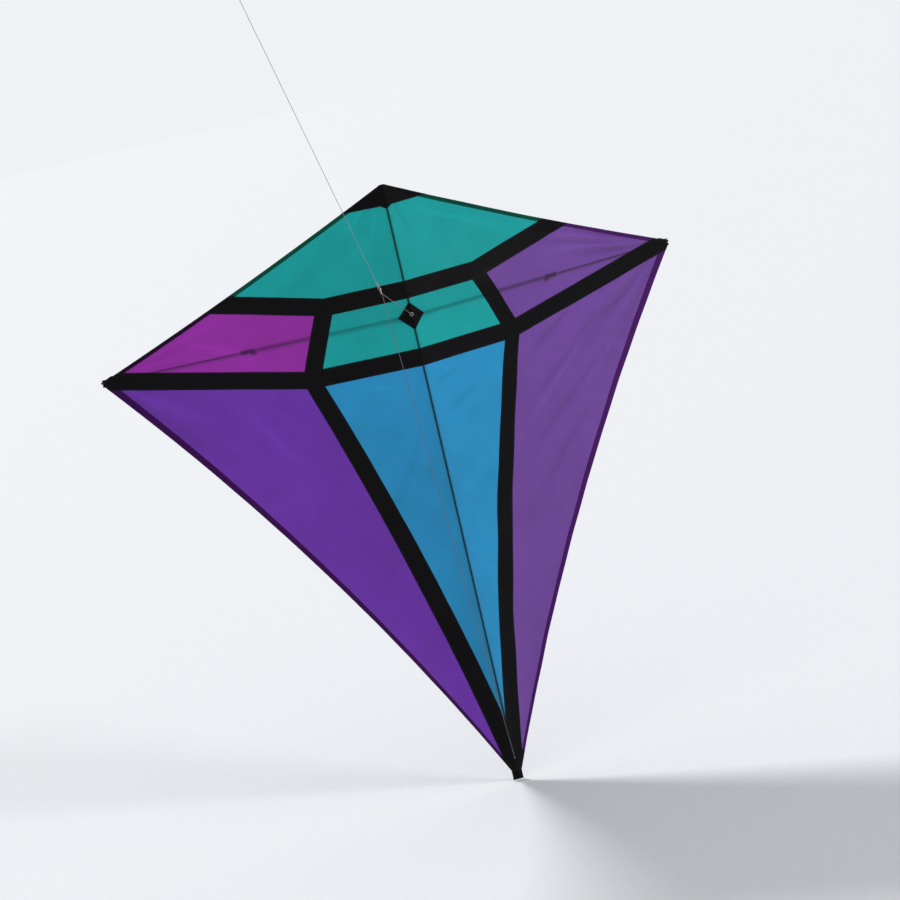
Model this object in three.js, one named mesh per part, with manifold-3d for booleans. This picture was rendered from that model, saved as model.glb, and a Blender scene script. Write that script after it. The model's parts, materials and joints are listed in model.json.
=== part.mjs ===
// Single-line diamond kite: a two-wing sail of sewn cloth panels on a spine and a two-part spreader,
// with a two-leg bridle, a tow ring, a snap swivel and the first stretch of the flying line.
//
// Millimetres. +Z runs up the spine to the nose, -Y faces the wind, +X is to the right seen from there.
// The origin is on the flat back rib of the moulded cross, where the spreader crosses the spine.
import * as THREE from "three";
import { mergeVertices } from "three/addons/utils/BufferGeometryUtils.js";
import Module from "manifold-3d";

const wasm = await Module();
wasm.setup();

// ---------------------------------------------------------------- driving dimensions
const SAIL_HEIGHT = 1506; // nose to tail along the spine
const CROSS_DROP = 329; // nose to the spreader
const HALF_SPAN = 796; // cross to the corner of one wing, measured on the cloth
const DIHEDRAL = THREE.MathUtils.degToRad(18); // each wing bends back by this much
const FOLD_Y = -14; // the line where the two wings of cloth meet, in front of the spine
const SPINE_Y = -7; // axis of the spine

const LEADING_HOLLOW = 7; // inward bow of the leading edges
const TRAILING_HOLLOW = 41; // inward bow of the trailing edges
const LONG_BAND_HOLLOW = 12; // inward bow of the long bands
const LOWER_BELLY = 28; // how far the wind fills each lower half
const UPPER_BELLY = 4;

const BAND = 44; // width of the black bands
const LEADING_HEM = 10;
const TRAILING_HEM = 19;
const CLOTH = 0.6; // thickness of a panel
const SEWN = 1; // thickness of a band, hem or patch
const SEAM = 0.5; // gap between neighbouring cloth pieces
const FOLD_GAP = 0.8; // from the fold to the inner edge of each wing's cloth

const NOSE_HALF_WIDTH = 6;
const NOSE_PATCH_SIDE = 120; // along the leading edge
const NOSE_PATCH_DROP = 52; // along the spine
const TAIL_HALF_WIDTH = 13.4;
const TIP_CUT = 8; // the wing corner is cut square this far short of its point
const CENTRE_PATCH = 34; // half a diagonal of the square patch over the cross

// corners of the band pattern on the cloth: across from the spine, up from the cross
const BROW_CORNER = new THREE.Vector2(205.5, 66);
const WAIST_CORNER = new THREE.Vector2(279, -104);
const SHOULDER_AT = 0.588; // where the shoulder band reaches the leading edge, as a share of that edge
const TIP_RISE = 6; // a wing band's middle runs out this far above the wing's corner
const BANDS_CLOSE_AT = 131; // height over the tail where the two long bands meet on the spine
const PANEL_CLOSE_AT = 45; // height over the tail where a long band meets the hem

const SPINE_RADIUS = 3;
const TUBE_RADIUS = 3; // inner part of the spreader
const ROD_RADIUS = 2.5; // outer part of the spreader
const FIT = 0.3; // gap round a rod in its socket
const HUB_RADIUS = 5.2;
const HUB_HEIGHT = 36;
const RIB_WIDTH = 6;
const RIB_HEIGHT = 44;
const SOCKET_START = 7.5; // from the spine's axis
const SOCKET_LENGTH = 42;
const SOCKET_RADIUS = 4.6;
const FERRULE_AT = 418; // middle of the ferrule, from the spine
const FERRULE_LENGTH = 36;
const FERRULE_RADIUS = 4.8;
const POCKET_RADIUS = 5.4;
const TIP_POCKET_LENGTH = 46;
const TIP_OVERHANG = 8; // the capped rod shows this far past the cloth
const TIP_CAP_WALL = 1;
const TAIL_TAB = 24; // the tail pocket hangs this far below the cloth

const BRIDLE_Y = FOLD_Y - 6; // both bridle knots lie on this line, in front of the cloth
const UPPER_TIE_Z = 4;
const LOWER_TIE_Z = -1142;
const TOW_POINT = new THREE.Vector3(-118, FOLD_Y - 300, 98);
const LINE_RISE = THREE.MathUtils.degToRad(43); // of the flying line over the sail's normal
const BRIDLE_RADIUS = 0.7;
const LINE_RADIUS = 0.6;
const LINE_END = 1130; // from the tow knot to the end of the taut stretch
const KNOT_RADIUS = 2.4;
const RING_RADIUS = 6;
const RING_WIRE = 0.9;
const CLIP_LENGTH = 15;
const CLIP_HALF_WIDTH = 2.8;
const CLIP_WIRE = 0.7;
const CLIP_SEAT = 2; // the clip's wire ends this far inside the barrel
const CLIP_SHOULDER = 3; // and turns in over this much of its length at each end
const CLIP_NOSE = 0.8;
const SHAFT_RADIUS = 0.8;
const BARREL_LENGTH = 8;
const BARREL_RADIUS = 2.6;
const EYE_RADIUS = 2.6;
const END_LOOP_LENGTH = 60;
const END_LOOP_WIDTH = 26;
const EYELET_RADIUS = 4.2;
const EYELET_WIRE = 0.7;
const EYELET_STAND = 3; // the eyelet lies this far in front of the fold

// ---------------------------------------------------------------- colours
const COLOUR = {
  green: [0x239e9d, 0.7],
  blue: [0x3893b4, 0.7],
  magenta: [0x973c9f, 0.7],
  lavender: [0x7c579a, 0.7],
  violet: [0x7743a2, 0.7],
  black: [0x151315, 0.8],
  carbon: [0x1c1c1e, 0.4],
  rubber: [0x101012, 0.6],
  thread: [0x6b666e, 0.8],
  steel: [0xb9bcc0, 0.25],
};

const kite = new THREE.Group();

function add(name, geometry, colour, parent = kite) {
  const [color, roughness] = COLOUR[colour];
  const metalness = colour === "steel" ? 1 : 0;
  const mesh = new THREE.Mesh(geometry, new THREE.MeshStandardMaterial({ color, roughness, metalness }));
  mesh.name = name;
  parent.add(mesh);
}

// ---------------------------------------------------------------- joining and cutting
function toSolid(geometry) {
  const bare = geometry.clone();
  bare.deleteAttribute("normal");
  bare.deleteAttribute("uv");
  const merged = mergeVertices(bare, 1e-4);
  const vertProperties = new Float32Array(merged.attributes.position.array);
  return new wasm.Manifold(
    new wasm.Mesh({ numProp: 3, vertProperties, triVerts: new Uint32Array(merged.index.array) }),
  );
}

function toGeometry(solid) {
  const mesh = solid.getMesh();
  const geometry = new THREE.BufferGeometry();
  geometry.setAttribute("position", new THREE.BufferAttribute(mesh.vertProperties, 3));
  geometry.setIndex(new THREE.BufferAttribute(mesh.triVerts, 1));
  return geometry;
}

const join = (...parts) => toGeometry(parts.map(toSolid).reduce((whole, part) => whole.add(part)));
const cut = (body, tool) => toGeometry(toSolid(body).subtract(toSolid(tool)));

// ---------------------------------------------------------------- lines on the flat cloth
const at = (across, up) => new THREE.Vector2(across, up);
const between = (a, b, share) => a.clone().lerp(b, share);

// a straight seam; shifted(d) lies d to its left, looking along it
class Seam {
  constructor(from, to) {
    this.from = from;
    this.to = to;
  }
  shifted(distance) {
    const along = this.to.clone().sub(this.from).normalize();
    const left = at(-along.y, along.x).multiplyScalar(distance);
    return new Seam(this.from.clone().add(left), this.to.clone().add(left));
  }
  meets(other) {
    const a = this.to.clone().sub(this.from);
    const b = other.to.clone().sub(other.from);
    const gap = other.from.clone().sub(this.from);
    return this.from.clone().add(a.clone().multiplyScalar(gap.cross(b) / a.cross(b)));
  }
}

// edges of a cloth piece are functions of a share from 0 to 1
const straight = (a, b) => (share) => between(a, b, share);

// bows to the right of a-b by hollow in its middle
function bowed(a, b, hollow) {
  const along = b.clone().sub(a).normalize();
  const right = at(along.y, -along.x);
  const bow = (share) => right.clone().multiplyScalar(4 * hollow * share * (1 - share));
  return (share) => between(a, b, share).add(bow(share));
}

// follows one edge up to a corner, then a straight line from it
const bent = (edge, end, corner) => (share) =>
  share <= corner ? edge(share / corner) : between(edge(1), end, (share - corner) / (1 - corner));

const part = (edge, from, to) => (share) => edge(from + (to - from) * share);

// share of a curved edge where a straight seam crosses it
function crossing(edge, seam) {
  const along = seam.to.clone().sub(seam.from);
  const side = (share) => along.cross(edge(share).sub(seam.from));
  let low = 0;
  let high = 1;
  for (let step = 0; step < 40; step += 1) {
    const middle = (low + high) / 2;
    if (side(low) * side(middle) <= 0) high = middle;
    else low = middle;
  }
  return low;
}

// ---------------------------------------------------------------- the filled sail
const TAIL_Z = CROSS_DROP - SAIL_HEIGHT;

function halfWidth(up) {
  if (up >= 0) return THREE.MathUtils.lerp(HALF_SPAN, NOSE_HALF_WIDTH, Math.min(up / CROSS_DROP, 1));
  const down = Math.min(up / TAIL_Z, 1);
  return THREE.MathUtils.lerp(HALF_SPAN, TAIL_HALF_WIDTH, down) - 4 * TRAILING_HOLLOW * down * (1 - down);
}

function belly(across, up) {
  const outward = THREE.MathUtils.clamp(across / halfWidth(up), 0, 1);
  const along = THREE.MathUtils.clamp(up >= 0 ? up / CROSS_DROP : up / TAIL_Z, 0, 1);
  const depth = up >= 0 ? UPPER_BELLY : LOWER_BELLY;
  return 16 * depth * outward * (1 - outward) * along * (1 - along);
}

// point of the cloth in its wing's own frame: x out along the wing, y back, z up
const onWing = (side, { x, y }) => new THREE.Vector3(side * x, belly(x, y), y);

function wingNormal(side, point) {
  const step = 0.5;
  const out = onWing(side, at(point.x + step, point.y)).sub(onWing(side, at(point.x - step, point.y)));
  const up = onWing(side, at(point.x, point.y + step)).sub(onWing(side, at(point.x, point.y - step)));
  return up.cross(out).normalize().multiplyScalar(side);
}

function outward(geometry) {
  const p = geometry.attributes.position;
  const index = geometry.index;
  const corner = (k) => new THREE.Vector3().fromBufferAttribute(p, index.getX(k));
  let volume = 0;
  for (let k = 0; k < index.count; k += 3) volume += corner(k).dot(corner(k + 1).cross(corner(k + 2)));
  if (volume > 0) return geometry;
  const flipped = [];
  for (let k = 0; k < index.count; k += 3) {
    flipped.push(index.getX(k), index.getX(k + 2), index.getX(k + 1));
  }
  geometry.setIndex(flipped);
  return geometry;
}

// a closed skin between four edges: first and last run from inner to outer, inner and outer from
// first to last; columns and rows count the cells each way, lift moves the skin off the sail
function cloth(side, { first, last, inner, outer, columns, rows, thickness = CLOTH, lift = 0 }) {
  const front = [];
  const back = [];
  for (let row = 0; row <= rows; row += 1) {
    const t = row / rows;
    for (let column = 0; column <= columns; column += 1) {
      const s = column / columns;
      const flat = between(first(s), last(s), t).add(between(inner(t), outer(t), s));
      const corners = between(between(first(0), first(1), s), between(last(0), last(1), s), t);
      flat.sub(corners);
      const point = onWing(side, flat);
      const normal = wingNormal(side, flat);
      front.push(...point.clone().addScaledVector(normal, lift - thickness / 2));
      back.push(...point.clone().addScaledVector(normal, lift + thickness / 2));
    }
  }
  const count = front.length / 3;
  const index = [];
  const vertex = (row, column) => row * (columns + 1) + column;
  for (let row = 0; row < rows; row += 1) {
    for (let column = 0; column < columns; column += 1) {
      const [a, b] = [vertex(row, column), vertex(row, column + 1)];
      const [c, d] = [vertex(row + 1, column + 1), vertex(row + 1, column)];
      index.push(a, b, c, a, c, d, count + a, count + c, count + b, count + a, count + d, count + c);
    }
  }
  const rim = [];
  for (let column = 0; column < columns; column += 1) rim.push(vertex(0, column));
  for (let row = 0; row < rows; row += 1) rim.push(vertex(row, columns));
  for (let column = columns; column > 0; column -= 1) rim.push(vertex(rows, column));
  for (let row = rows; row > 0; row -= 1) rim.push(vertex(row, 0));
  rim.forEach((a, k) => {
    const b = rim[(k + 1) % rim.length];
    index.push(a, count + a, count + b, a, count + b, b);
  });
  const geometry = new THREE.BufferGeometry();
  geometry.setAttribute("position", new THREE.Float32BufferAttribute([...front, ...back], 3));
  geometry.setIndex(index);
  return outward(geometry);
}

// ---------------------------------------------------------------- the cutting pattern of one wing
const HALF_BAND = BAND / 2;
const CLEAR = HALF_BAND + SEAM; // a panel's edge, from the middle of the band beside it
const onSpine = (up) => at(FOLD_GAP, up);

const corner = at(HALF_SPAN, 0);
const tail = at(TAIL_HALF_WIDTH, TAIL_Z);
const tailSplit = at(TAIL_HALF_WIDTH / 2, TAIL_Z);
const tipEnd = new Seam(at(HALF_SPAN - TIP_CUT, -1), at(HALF_SPAN - TIP_CUT, 1));

const slope = new Seam(at(NOSE_HALF_WIDTH, CROSS_DROP), corner);
const fall = new Seam(corner, tail);
const leading = bowed(slope.from, slope.to, LEADING_HOLLOW);
const trailing = bowed(fall.from, fall.to, TRAILING_HOLLOW);

// inner edge of each hem, and the edge of whatever lies beside it
const hemInner = slope.shifted(-LEADING_HEM);
const besideHem = slope.shifted(-LEADING_HEM - SEAM);
const leadingInner = bowed(hemInner.from, hemInner.to, LEADING_HOLLOW);
const besideLeading = bowed(besideHem.from, besideHem.to, LEADING_HOLLOW);
const trailingStart = fall.shifted(-TRAILING_HEM).from;
const trailingInner = bowed(trailingStart, tailSplit, TRAILING_HOLLOW);
const besideStart = fall.shifted(-TRAILING_HEM - SEAM).from;
const besideTrailing = bowed(besideStart, at(tailSplit.x - SEAM, TAIL_Z), TRAILING_HOLLOW);

// middle lines of the bands, drawn outward or downward, so the left side is above or outside
const brow = new Seam(at(0, BROW_CORNER.y), BROW_CORNER);
const shoulder = new Seam(BROW_CORNER, leading(SHOULDER_AT));
const waist = new Seam(at(0, WAIST_CORNER.y), WAIST_CORNER);
const wing = new Seam(WAIST_CORNER, at(HALF_SPAN, TIP_RISE));
const short = new Seam(BROW_CORNER, WAIST_CORNER);
const long = new Seam(WAIST_CORNER, at(TAIL_HALF_WIDTH / 3, TAIL_Z));

const crosses = (edge, seam) => edge(crossing(edge, seam));
const meet = (a, shiftA, b, shiftB) => a.shifted(shiftA).meets(b.shifted(shiftB));

// the upper and lower corner where one band turns into the next, moved across by shift
function mitre(a, b, shift) {
  return [HALF_BAND, -HALF_BAND].map((edge) => meet(a, edge, b, edge).add(at(shift, 0)));
}

// the lower edge of the nose patch, and the same line one seam further down
const noseSide = leading(NOSE_PATCH_SIDE / fall.from.distanceTo(slope.from));
const noseLine = new Seam(onSpine(CROSS_DROP - NOSE_PATCH_DROP), noseSide);
const underNose = noseLine.shifted(-SEAM);

// where the two long bands close on the spine, and where a long band closes on the hem
const bandsClose = onSpine(TAIL_Z + BANDS_CLOSE_AT);
const level = (up) => new Seam(at(0, up), at(1, up));
const panelClose = crosses(besideTrailing, level(TAIL_Z + PANEL_CLOSE_AT));
const LONG_ROWS = 15;
const POINT_WIDTH = 1.2; // the narrow end of a tapering panel
const POINT_BACK = 10; // and how far it stops short of the bands' closing point

const quad = (topIn, topOut, bottomIn, bottomOut) => ({
  first: straight(topIn, topOut),
  last: straight(bottomIn, bottomOut),
  inner: straight(topIn, bottomIn),
  outer: straight(topOut, bottomOut),
});

const panelPieces = {
  top_panel: () => {
    const from = crossing(besideLeading, underNose);
    const to = crossing(besideLeading, shoulder.shifted(CLEAR));
    const low = onSpine(brow.from.y + CLEAR);
    return {
      first: straight(underNose.from, besideLeading(from)),
      last: bent(straight(low, meet(brow, CLEAR, shoulder, CLEAR)), besideLeading(to), 0.5),
      inner: straight(underNose.from, low),
      outer: part(besideLeading, from, to),
      columns: 6,
      rows: 4,
    };
  },
  middle_panel: () => ({
    ...quad(
      onSpine(brow.from.y - CLEAR), meet(brow, -CLEAR, short, -CLEAR),
      onSpine(waist.from.y + CLEAR), meet(waist, CLEAR, short, -CLEAR),
    ),
    columns: 3,
    rows: 3,
  }),
  shoulder_panel: () => {
    const from = crossing(besideLeading, shoulder.shifted(-CLEAR));
    const to = crossing(besideLeading, wing.shifted(CLEAR));
    const [top, low] = [meet(shoulder, -CLEAR, short, CLEAR), meet(wing, CLEAR, short, CLEAR)];
    return {
      first: straight(top, besideLeading(from)),
      last: straight(low, besideLeading(to)),
      inner: straight(top, low),
      outer: part(besideLeading, from, to),
      columns: 6,
      rows: 4,
    };
  },
  lower_panel: () => {
    const [topIn, topOut] = [onSpine(waist.from.y - CLEAR), meet(waist, -CLEAR, long, -CLEAR)];
    const point = at(bandsClose.x, bandsClose.y + POINT_BACK);
    const pointOut = at(point.x + POINT_WIDTH, point.y);
    return {
      first: straight(topIn, topOut),
      last: straight(point, pointOut),
      inner: straight(topIn, point),
      outer: bowed(topOut, pointOut, LONG_BAND_HOLLOW),
      columns: 4,
      rows: LONG_ROWS - 2,
    };
  },
  wing_panel: () => {
    const top = meet(wing, -CLEAR, long, CLEAR);
    const from = crossing(besideTrailing, wing.shifted(-CLEAR));
    const to = crossing(besideTrailing, level(panelClose.y + 2 * POINT_BACK));
    const point = besideTrailing(to);
    const pointIn = at(point.x - POINT_WIDTH, point.y);
    return {
      first: straight(top, besideTrailing(from)),
      last: straight(pointIn, point),
      inner: bowed(top, pointIn, LONG_BAND_HOLLOW),
      outer: part(besideTrailing, from, to),
      columns: 5,
      rows: LONG_ROWS - 1,
    };
  },
};

const PANEL_COLOUR = {
  top_panel: ["green", "green"],
  middle_panel: ["green", "green"],
  lower_panel: ["blue", "blue"],
  shoulder_panel: ["magenta", "lavender"],
  wing_panel: ["violet", "lavender"],
};

const sewnPieces = {
  nose_patch: () => ({
    first: straight(onSpine(CROSS_DROP), slope.from),
    last: straight(noseLine.from, noseLine.to),
    inner: straight(onSpine(CROSS_DROP), noseLine.from),
    outer: part(leading, 0, crossing(leading, noseLine)),
    columns: 3,
    rows: 3,
  }),
  brow_band: () => {
    const [top, low] = mitre(brow, shoulder, -SEAM / 2);
    return {
      ...quad(onSpine(brow.from.y + HALF_BAND), top, onSpine(brow.from.y - HALF_BAND), low),
      columns: 3,
      rows: 1,
    };
  },
  shoulder_band: () => {
    const [top, low] = mitre(brow, shoulder, SEAM / 2);
    const above = crosses(besideLeading, shoulder.shifted(HALF_BAND));
    const below = crosses(besideLeading, shoulder.shifted(-HALF_BAND));
    return { ...quad(top, above, low, below), columns: 5, rows: 1 };
  },
  waist_band: () => {
    const [top, low] = mitre(waist, wing, -SEAM / 2);
    return {
      ...quad(onSpine(waist.from.y + HALF_BAND), top, onSpine(waist.from.y - HALF_BAND), low),
      columns: 4,
      rows: 1,
    };
  },
  wing_band: () => {
    const [top, low] = mitre(waist, wing, SEAM / 2);
    const bends = [crosses(leading, wing.shifted(HALF_BAND)), crosses(trailing, wing.shifted(-HALF_BAND))];
    const [tipTop, tipLow] = [crosses(leading, tipEnd), crosses(trailing, tipEnd)];
    return {
      first: bent(straight(top, bends[0]), tipTop, 0.9),
      last: bent(straight(low, bends[1]), tipLow, 0.9),
      inner: straight(top, low),
      outer: straight(tipTop, tipLow),
      columns: 10,
      rows: 2,
    };
  },
  short_band: () => {
    const topIn = meet(brow, -CLEAR, short, -HALF_BAND);
    const topOut = meet(shoulder, -CLEAR, short, HALF_BAND);
    const lowIn = meet(waist, CLEAR, short, -HALF_BAND);
    const lowOut = meet(wing, CLEAR, short, HALF_BAND);
    return {
      first: bent(straight(topIn, meet(brow, -CLEAR, shoulder, -CLEAR)), topOut, 0.5),
      last: bent(straight(lowIn, meet(waist, CLEAR, wing, CLEAR)), lowOut, 0.5),
      inner: straight(topIn, lowIn),
      outer: straight(topOut, lowOut),
      columns: 2,
      rows: 3,
    };
  },
  long_band: () => {
    const [topIn, topOut] = [meet(waist, -CLEAR, long, -HALF_BAND), meet(wing, -CLEAR, long, HALF_BAND)];
    const [endIn, endOut] = [onSpine(TAIL_Z), besideTrailing(1)];
    return {
      first: bent(straight(topIn, meet(waist, -CLEAR, wing, -CLEAR)), topOut, 0.5),
      last: straight(endIn, endOut),
      inner: bent(bowed(topIn, bandsClose, LONG_BAND_HOLLOW), endIn, (LONG_ROWS - 2) / LONG_ROWS),
      outer: bent(bowed(topOut, panelClose, LONG_BAND_HOLLOW), endOut, (LONG_ROWS - 1) / LONG_ROWS),
      columns: 2,
      rows: LONG_ROWS,
    };
  },
  leading_hem: () => {
    const ends = [underNose, wing.shifted(CLEAR)];
    const [innerFrom, innerTo] = ends.map((seam) => crossing(leadingInner, seam));
    const [outerFrom, outerTo] = ends.map((seam) => crossing(leading, seam));
    return {
      first: straight(leadingInner(innerFrom), leading(outerFrom)),
      last: straight(leadingInner(innerTo), leading(outerTo)),
      inner: part(leadingInner, innerFrom, innerTo),
      outer: part(leading, outerFrom, outerTo),
      columns: 1,
      rows: 14,
    };
  },
  trailing_hem: () => {
    const seam = wing.shifted(-CLEAR);
    const [innerFrom, outerFrom] = [crossing(trailingInner, seam), crossing(trailing, seam)];
    return {
      first: straight(trailingInner(innerFrom), trailing(outerFrom)),
      last: straight(tailSplit, tail),
      inner: part(trailingInner, innerFrom, 1),
      outer: part(trailing, outerFrom, 1),
      columns: 1,
      rows: 16,
    };
  },
};

// half of the square patch, laid in front of the sail
function centrePatch() {
  const [top, low] = [onSpine(CENTRE_PATCH), onSpine(-CENTRE_PATCH)];
  const [topOut, lowOut] = [at(2 * FOLD_GAP, top.y - FOLD_GAP), at(2 * FOLD_GAP, low.y + FOLD_GAP)];
  return {
    first: straight(top, topOut),
    last: straight(low, lowOut),
    inner: straight(top, low),
    outer: bent(straight(topOut, at(CENTRE_PATCH, 0)), lowOut, 0.5),
    columns: 2,
    rows: 4,
    lift: -(CLOTH / 2 + SEWN / 2 + SEAM),
  };
}

// ---------------------------------------------------------------- rods and sleeves
const UP_Y = new THREE.Vector3(0, 1, 0);

// turns a geometry made along +Y so that it runs from one point to another
function along(geometry, from, to) {
  const direction = to.clone().sub(from).normalize();
  geometry.applyQuaternion(new THREE.Quaternion().setFromUnitVectors(UP_Y, direction));
  return geometry.translate(from.x, from.y, from.z);
}

function rod(radius, from, to, sides = 16) {
  const length = from.distanceTo(to);
  const upright = new THREE.CylinderGeometry(radius, radius, length, sides).translate(0, length / 2, 0);
  return along(upright, from, to);
}

function sleeve(outer, bore, from, to) {
  const length = from.distanceTo(to);
  const profile = [[bore, 0], [outer, 0], [outer, length], [bore, length], [bore, 0]];
  return along(new THREE.LatheGeometry(profile.map(([x, y]) => new THREE.Vector2(x, y)), 20), from, to);
}

// a cap is a short solid rod with a blind socket for the end it covers
function cap(outer, bore, from, to, wall) {
  const length = from.distanceTo(to);
  const floor = length - wall;
  const profile = [[0, floor], [bore, floor], [bore, 0], [outer, 0], [outer, length], [0, length]];
  return along(new THREE.LatheGeometry(profile.map(([x, y]) => new THREE.Vector2(x, y)), 20), from, to);
}

// ---------------------------------------------------------------- one wing
const SPREADER_LIFT = (SPINE_Y - FOLD_Y) * Math.cos(DIHEDRAL); // the spreader's axis, behind the cloth
const SPREADER_ROOT = (SPINE_Y - FOLD_Y) * Math.sin(DIHEDRAL);

function addSpreader(side, name, wingGroup) {
  const on = (x) => new THREE.Vector3(side * x, SPREADER_LIFT, 0);
  const clothEnd = HALF_SPAN - TIP_CUT;
  const socketFrom = SPREADER_ROOT + SOCKET_START;
  const tubeFrom = socketFrom + FIT;
  const rodEnd = clothEnd + TIP_OVERHANG - TIP_CAP_WALL;
  const put = (piece, geometry, colour) => add(`${piece}_${name}`, geometry, colour, wingGroup);
  const socketEnds = [on(socketFrom), on(socketFrom + SOCKET_LENGTH)];
  put("spreader_socket", sleeve(SOCKET_RADIUS, TUBE_RADIUS + FIT, ...socketEnds), "rubber");
  put("spreader_tube", rod(TUBE_RADIUS, on(tubeFrom), on(FERRULE_AT - FIT / 2)), "carbon");
  const ferruleEnds = [on(FERRULE_AT - FERRULE_LENGTH / 2), on(FERRULE_AT + FERRULE_LENGTH / 2)];
  put("spreader_ferrule", sleeve(FERRULE_RADIUS, TUBE_RADIUS + FIT, ...ferruleEnds), "rubber");
  put("spreader_rod", rod(ROD_RADIUS, on(FERRULE_AT + FIT / 2), on(rodEnd - FIT)), "carbon");
  const pocketEnds = [on(clothEnd - TIP_POCKET_LENGTH), on(clothEnd - FIT)];
  put("tip_pocket", sleeve(POCKET_RADIUS, ROD_RADIUS + FIT, ...pocketEnds), "black");
  const capEnds = [on(clothEnd), on(clothEnd + TIP_OVERHANG)];
  put("tip_cap", cap(ROD_RADIUS + TIP_CAP_WALL, ROD_RADIUS + FIT, ...capEnds, TIP_CAP_WALL), "rubber");
}

function addWing(side, name) {
  const wingGroup = new THREE.Group();
  wingGroup.position.set(0, FOLD_Y, 0);
  wingGroup.rotation.z = side * DIHEDRAL;
  kite.add(wingGroup);
  for (const [piece, shape] of Object.entries(panelPieces)) {
    const colour = PANEL_COLOUR[piece][side > 0 ? 1 : 0];
    add(`${piece}_${name}`, cloth(side, shape()), colour, wingGroup);
  }
  for (const [piece, shape] of Object.entries(sewnPieces)) {
    add(`${piece}_${name}`, cloth(side, { ...shape(), thickness: SEWN }), "black", wingGroup);
  }
  add(`centre_patch_${name}`, cloth(side, { ...centrePatch(), thickness: SEWN }), "black", wingGroup);
  addSpreader(side, name, wingGroup);
}

// ---------------------------------------------------------------- spine, cross and pockets
const END_INSET = 3; // a capped end stops this far inside its pocket
const CAP_WALL = 2;
const CAP_LENGTH = 18;
const POCKET_LENGTH = 45;
const POCKET_WALL = 1;
const onAxis = (z) => new THREE.Vector3(0, SPINE_Y, z);

function addFrame() {
  const top = CROSS_DROP - END_INSET;
  const bottom = TAIL_Z - TAIL_TAB + END_INSET;
  const capBore = SPINE_RADIUS + FIT;
  const capOuter = SPINE_RADIUS + 1.1;
  add("spine", rod(SPINE_RADIUS, onAxis(bottom + CAP_WALL + FIT), onAxis(top - CAP_WALL - FIT)), "carbon");
  add("nose_cap", cap(capOuter, capBore, onAxis(top - CAP_LENGTH), onAxis(top), CAP_WALL), "rubber");
  add("tail_cap", cap(capOuter, capBore, onAxis(bottom + CAP_LENGTH), onAxis(bottom), CAP_WALL), "rubber");

  const pocketBore = capOuter + FIT;
  const pocketEnds = [onAxis(CROSS_DROP - POCKET_LENGTH), onAxis(CROSS_DROP)];
  add("nose_pocket", cap(POCKET_RADIUS, pocketBore, ...pocketEnds, POCKET_WALL), "black");
  const tabTop = TAIL_Z - SEAM;
  const tabBottom = TAIL_Z - TAIL_TAB;
  const tab = new THREE.BoxGeometry(2 * TAIL_HALF_WIDTH, 2 * POCKET_RADIUS, tabTop - tabBottom);
  tab.translate(0, SPINE_Y, (tabTop + tabBottom) / 2);
  const hole = rod(pocketBore, onAxis(bottom - FIT), onAxis(tabTop + 1));
  add("tail_pocket", cut(tab, hole), "black");

  const barrel = rod(HUB_RADIUS, onAxis(-HUB_HEIGHT / 2), onAxis(HUB_HEIGHT / 2), 24);
  const rib = new THREE.BoxGeometry(RIB_WIDTH, -SPINE_Y, RIB_HEIGHT).translate(0, SPINE_Y / 2, 0);
  const bore = rod(SPINE_RADIUS + FIT, onAxis(-RIB_HEIGHT), onAxis(RIB_HEIGHT));
  add("cross_hub", cut(join(barrel, rib), bore), "rubber");

  const eyelet = new THREE.TorusGeometry(EYELET_RADIUS, EYELET_WIRE, 8, 24).rotateX(Math.PI / 2);
  eyelet.translate(0, FOLD_Y - EYELET_STAND, UPPER_TIE_Z);
  add("eyelet", eyelet, "steel");
}

// ---------------------------------------------------------------- bridle, swivel and flying line
const tieUpper = new THREE.Vector3(0, BRIDLE_Y, UPPER_TIE_Z);
const tieLower = new THREE.Vector3(0, BRIDLE_Y, LOWER_TIE_Z);
const inBridlePlane = new THREE.Vector3(TOW_POINT.x, TOW_POINT.y - BRIDLE_Y, 0).normalize();
const bridleNormal = new THREE.Vector3(0, 0, 1).cross(inBridlePlane).normalize();
const lineDirection = inBridlePlane.clone().multiplyScalar(Math.cos(LINE_RISE));
lineDirection.z = Math.sin(LINE_RISE);
const onLine = (distance) => TOW_POINT.clone().addScaledVector(lineDirection, distance);

// a cord's tube: eight sides, drawn along a path
function cordTube(radius, path, steps) {
  const section = Array.from({ length: 8 }, (_, k) => {
    const turn = (k / 8) * 2 * Math.PI;
    return new THREE.Vector2(radius * Math.cos(turn), radius * Math.sin(turn));
  });
  const shape = new THREE.Shape(section);
  return new THREE.ExtrudeGeometry(shape, { steps, extrudePath: path, bevelEnabled: false });
}

const knot = (radius, centre) => new THREE.SphereGeometry(radius, 12, 8).translate(...centre);

// a leg between two knots, stopping short of both
function leg(from, to, steps) {
  const direction = to.clone().sub(from).normalize();
  const start = from.clone().addScaledVector(direction, KNOT_RADIUS + FIT);
  const end = to.clone().addScaledVector(direction, -KNOT_RADIUS - FIT);
  return cordTube(BRIDLE_RADIUS, new THREE.LineCurve3(start, end), steps);
}

// distances along the line from the tow knot
const RING_AT = KNOT_RADIUS + FIT + RING_RADIUS + RING_WIRE;
const CLIP_FROM = RING_AT + RING_RADIUS - RING_WIRE - CLIP_WIRE - FIT;
const BARREL_FROM = CLIP_FROM + CLIP_LENGTH;
const BARREL_TO = BARREL_FROM + BARREL_LENGTH;
const EYE_AT = BARREL_TO + FIT + 2 + EYE_RADIUS;
const LINE_KNOT_AT = EYE_AT + EYE_RADIUS + CLIP_WIRE + FIT + KNOT_RADIUS;
const LINE_FROM = LINE_KNOT_AT + KNOT_RADIUS + FIT;

function ring(radius, wire, centre, normal) {
  const torus = new THREE.TorusGeometry(radius, wire, 8, 24);
  torus.applyQuaternion(new THREE.Quaternion().setFromUnitVectors(new THREE.Vector3(0, 0, 1), normal));
  return torus.translate(...centre);
}

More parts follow.
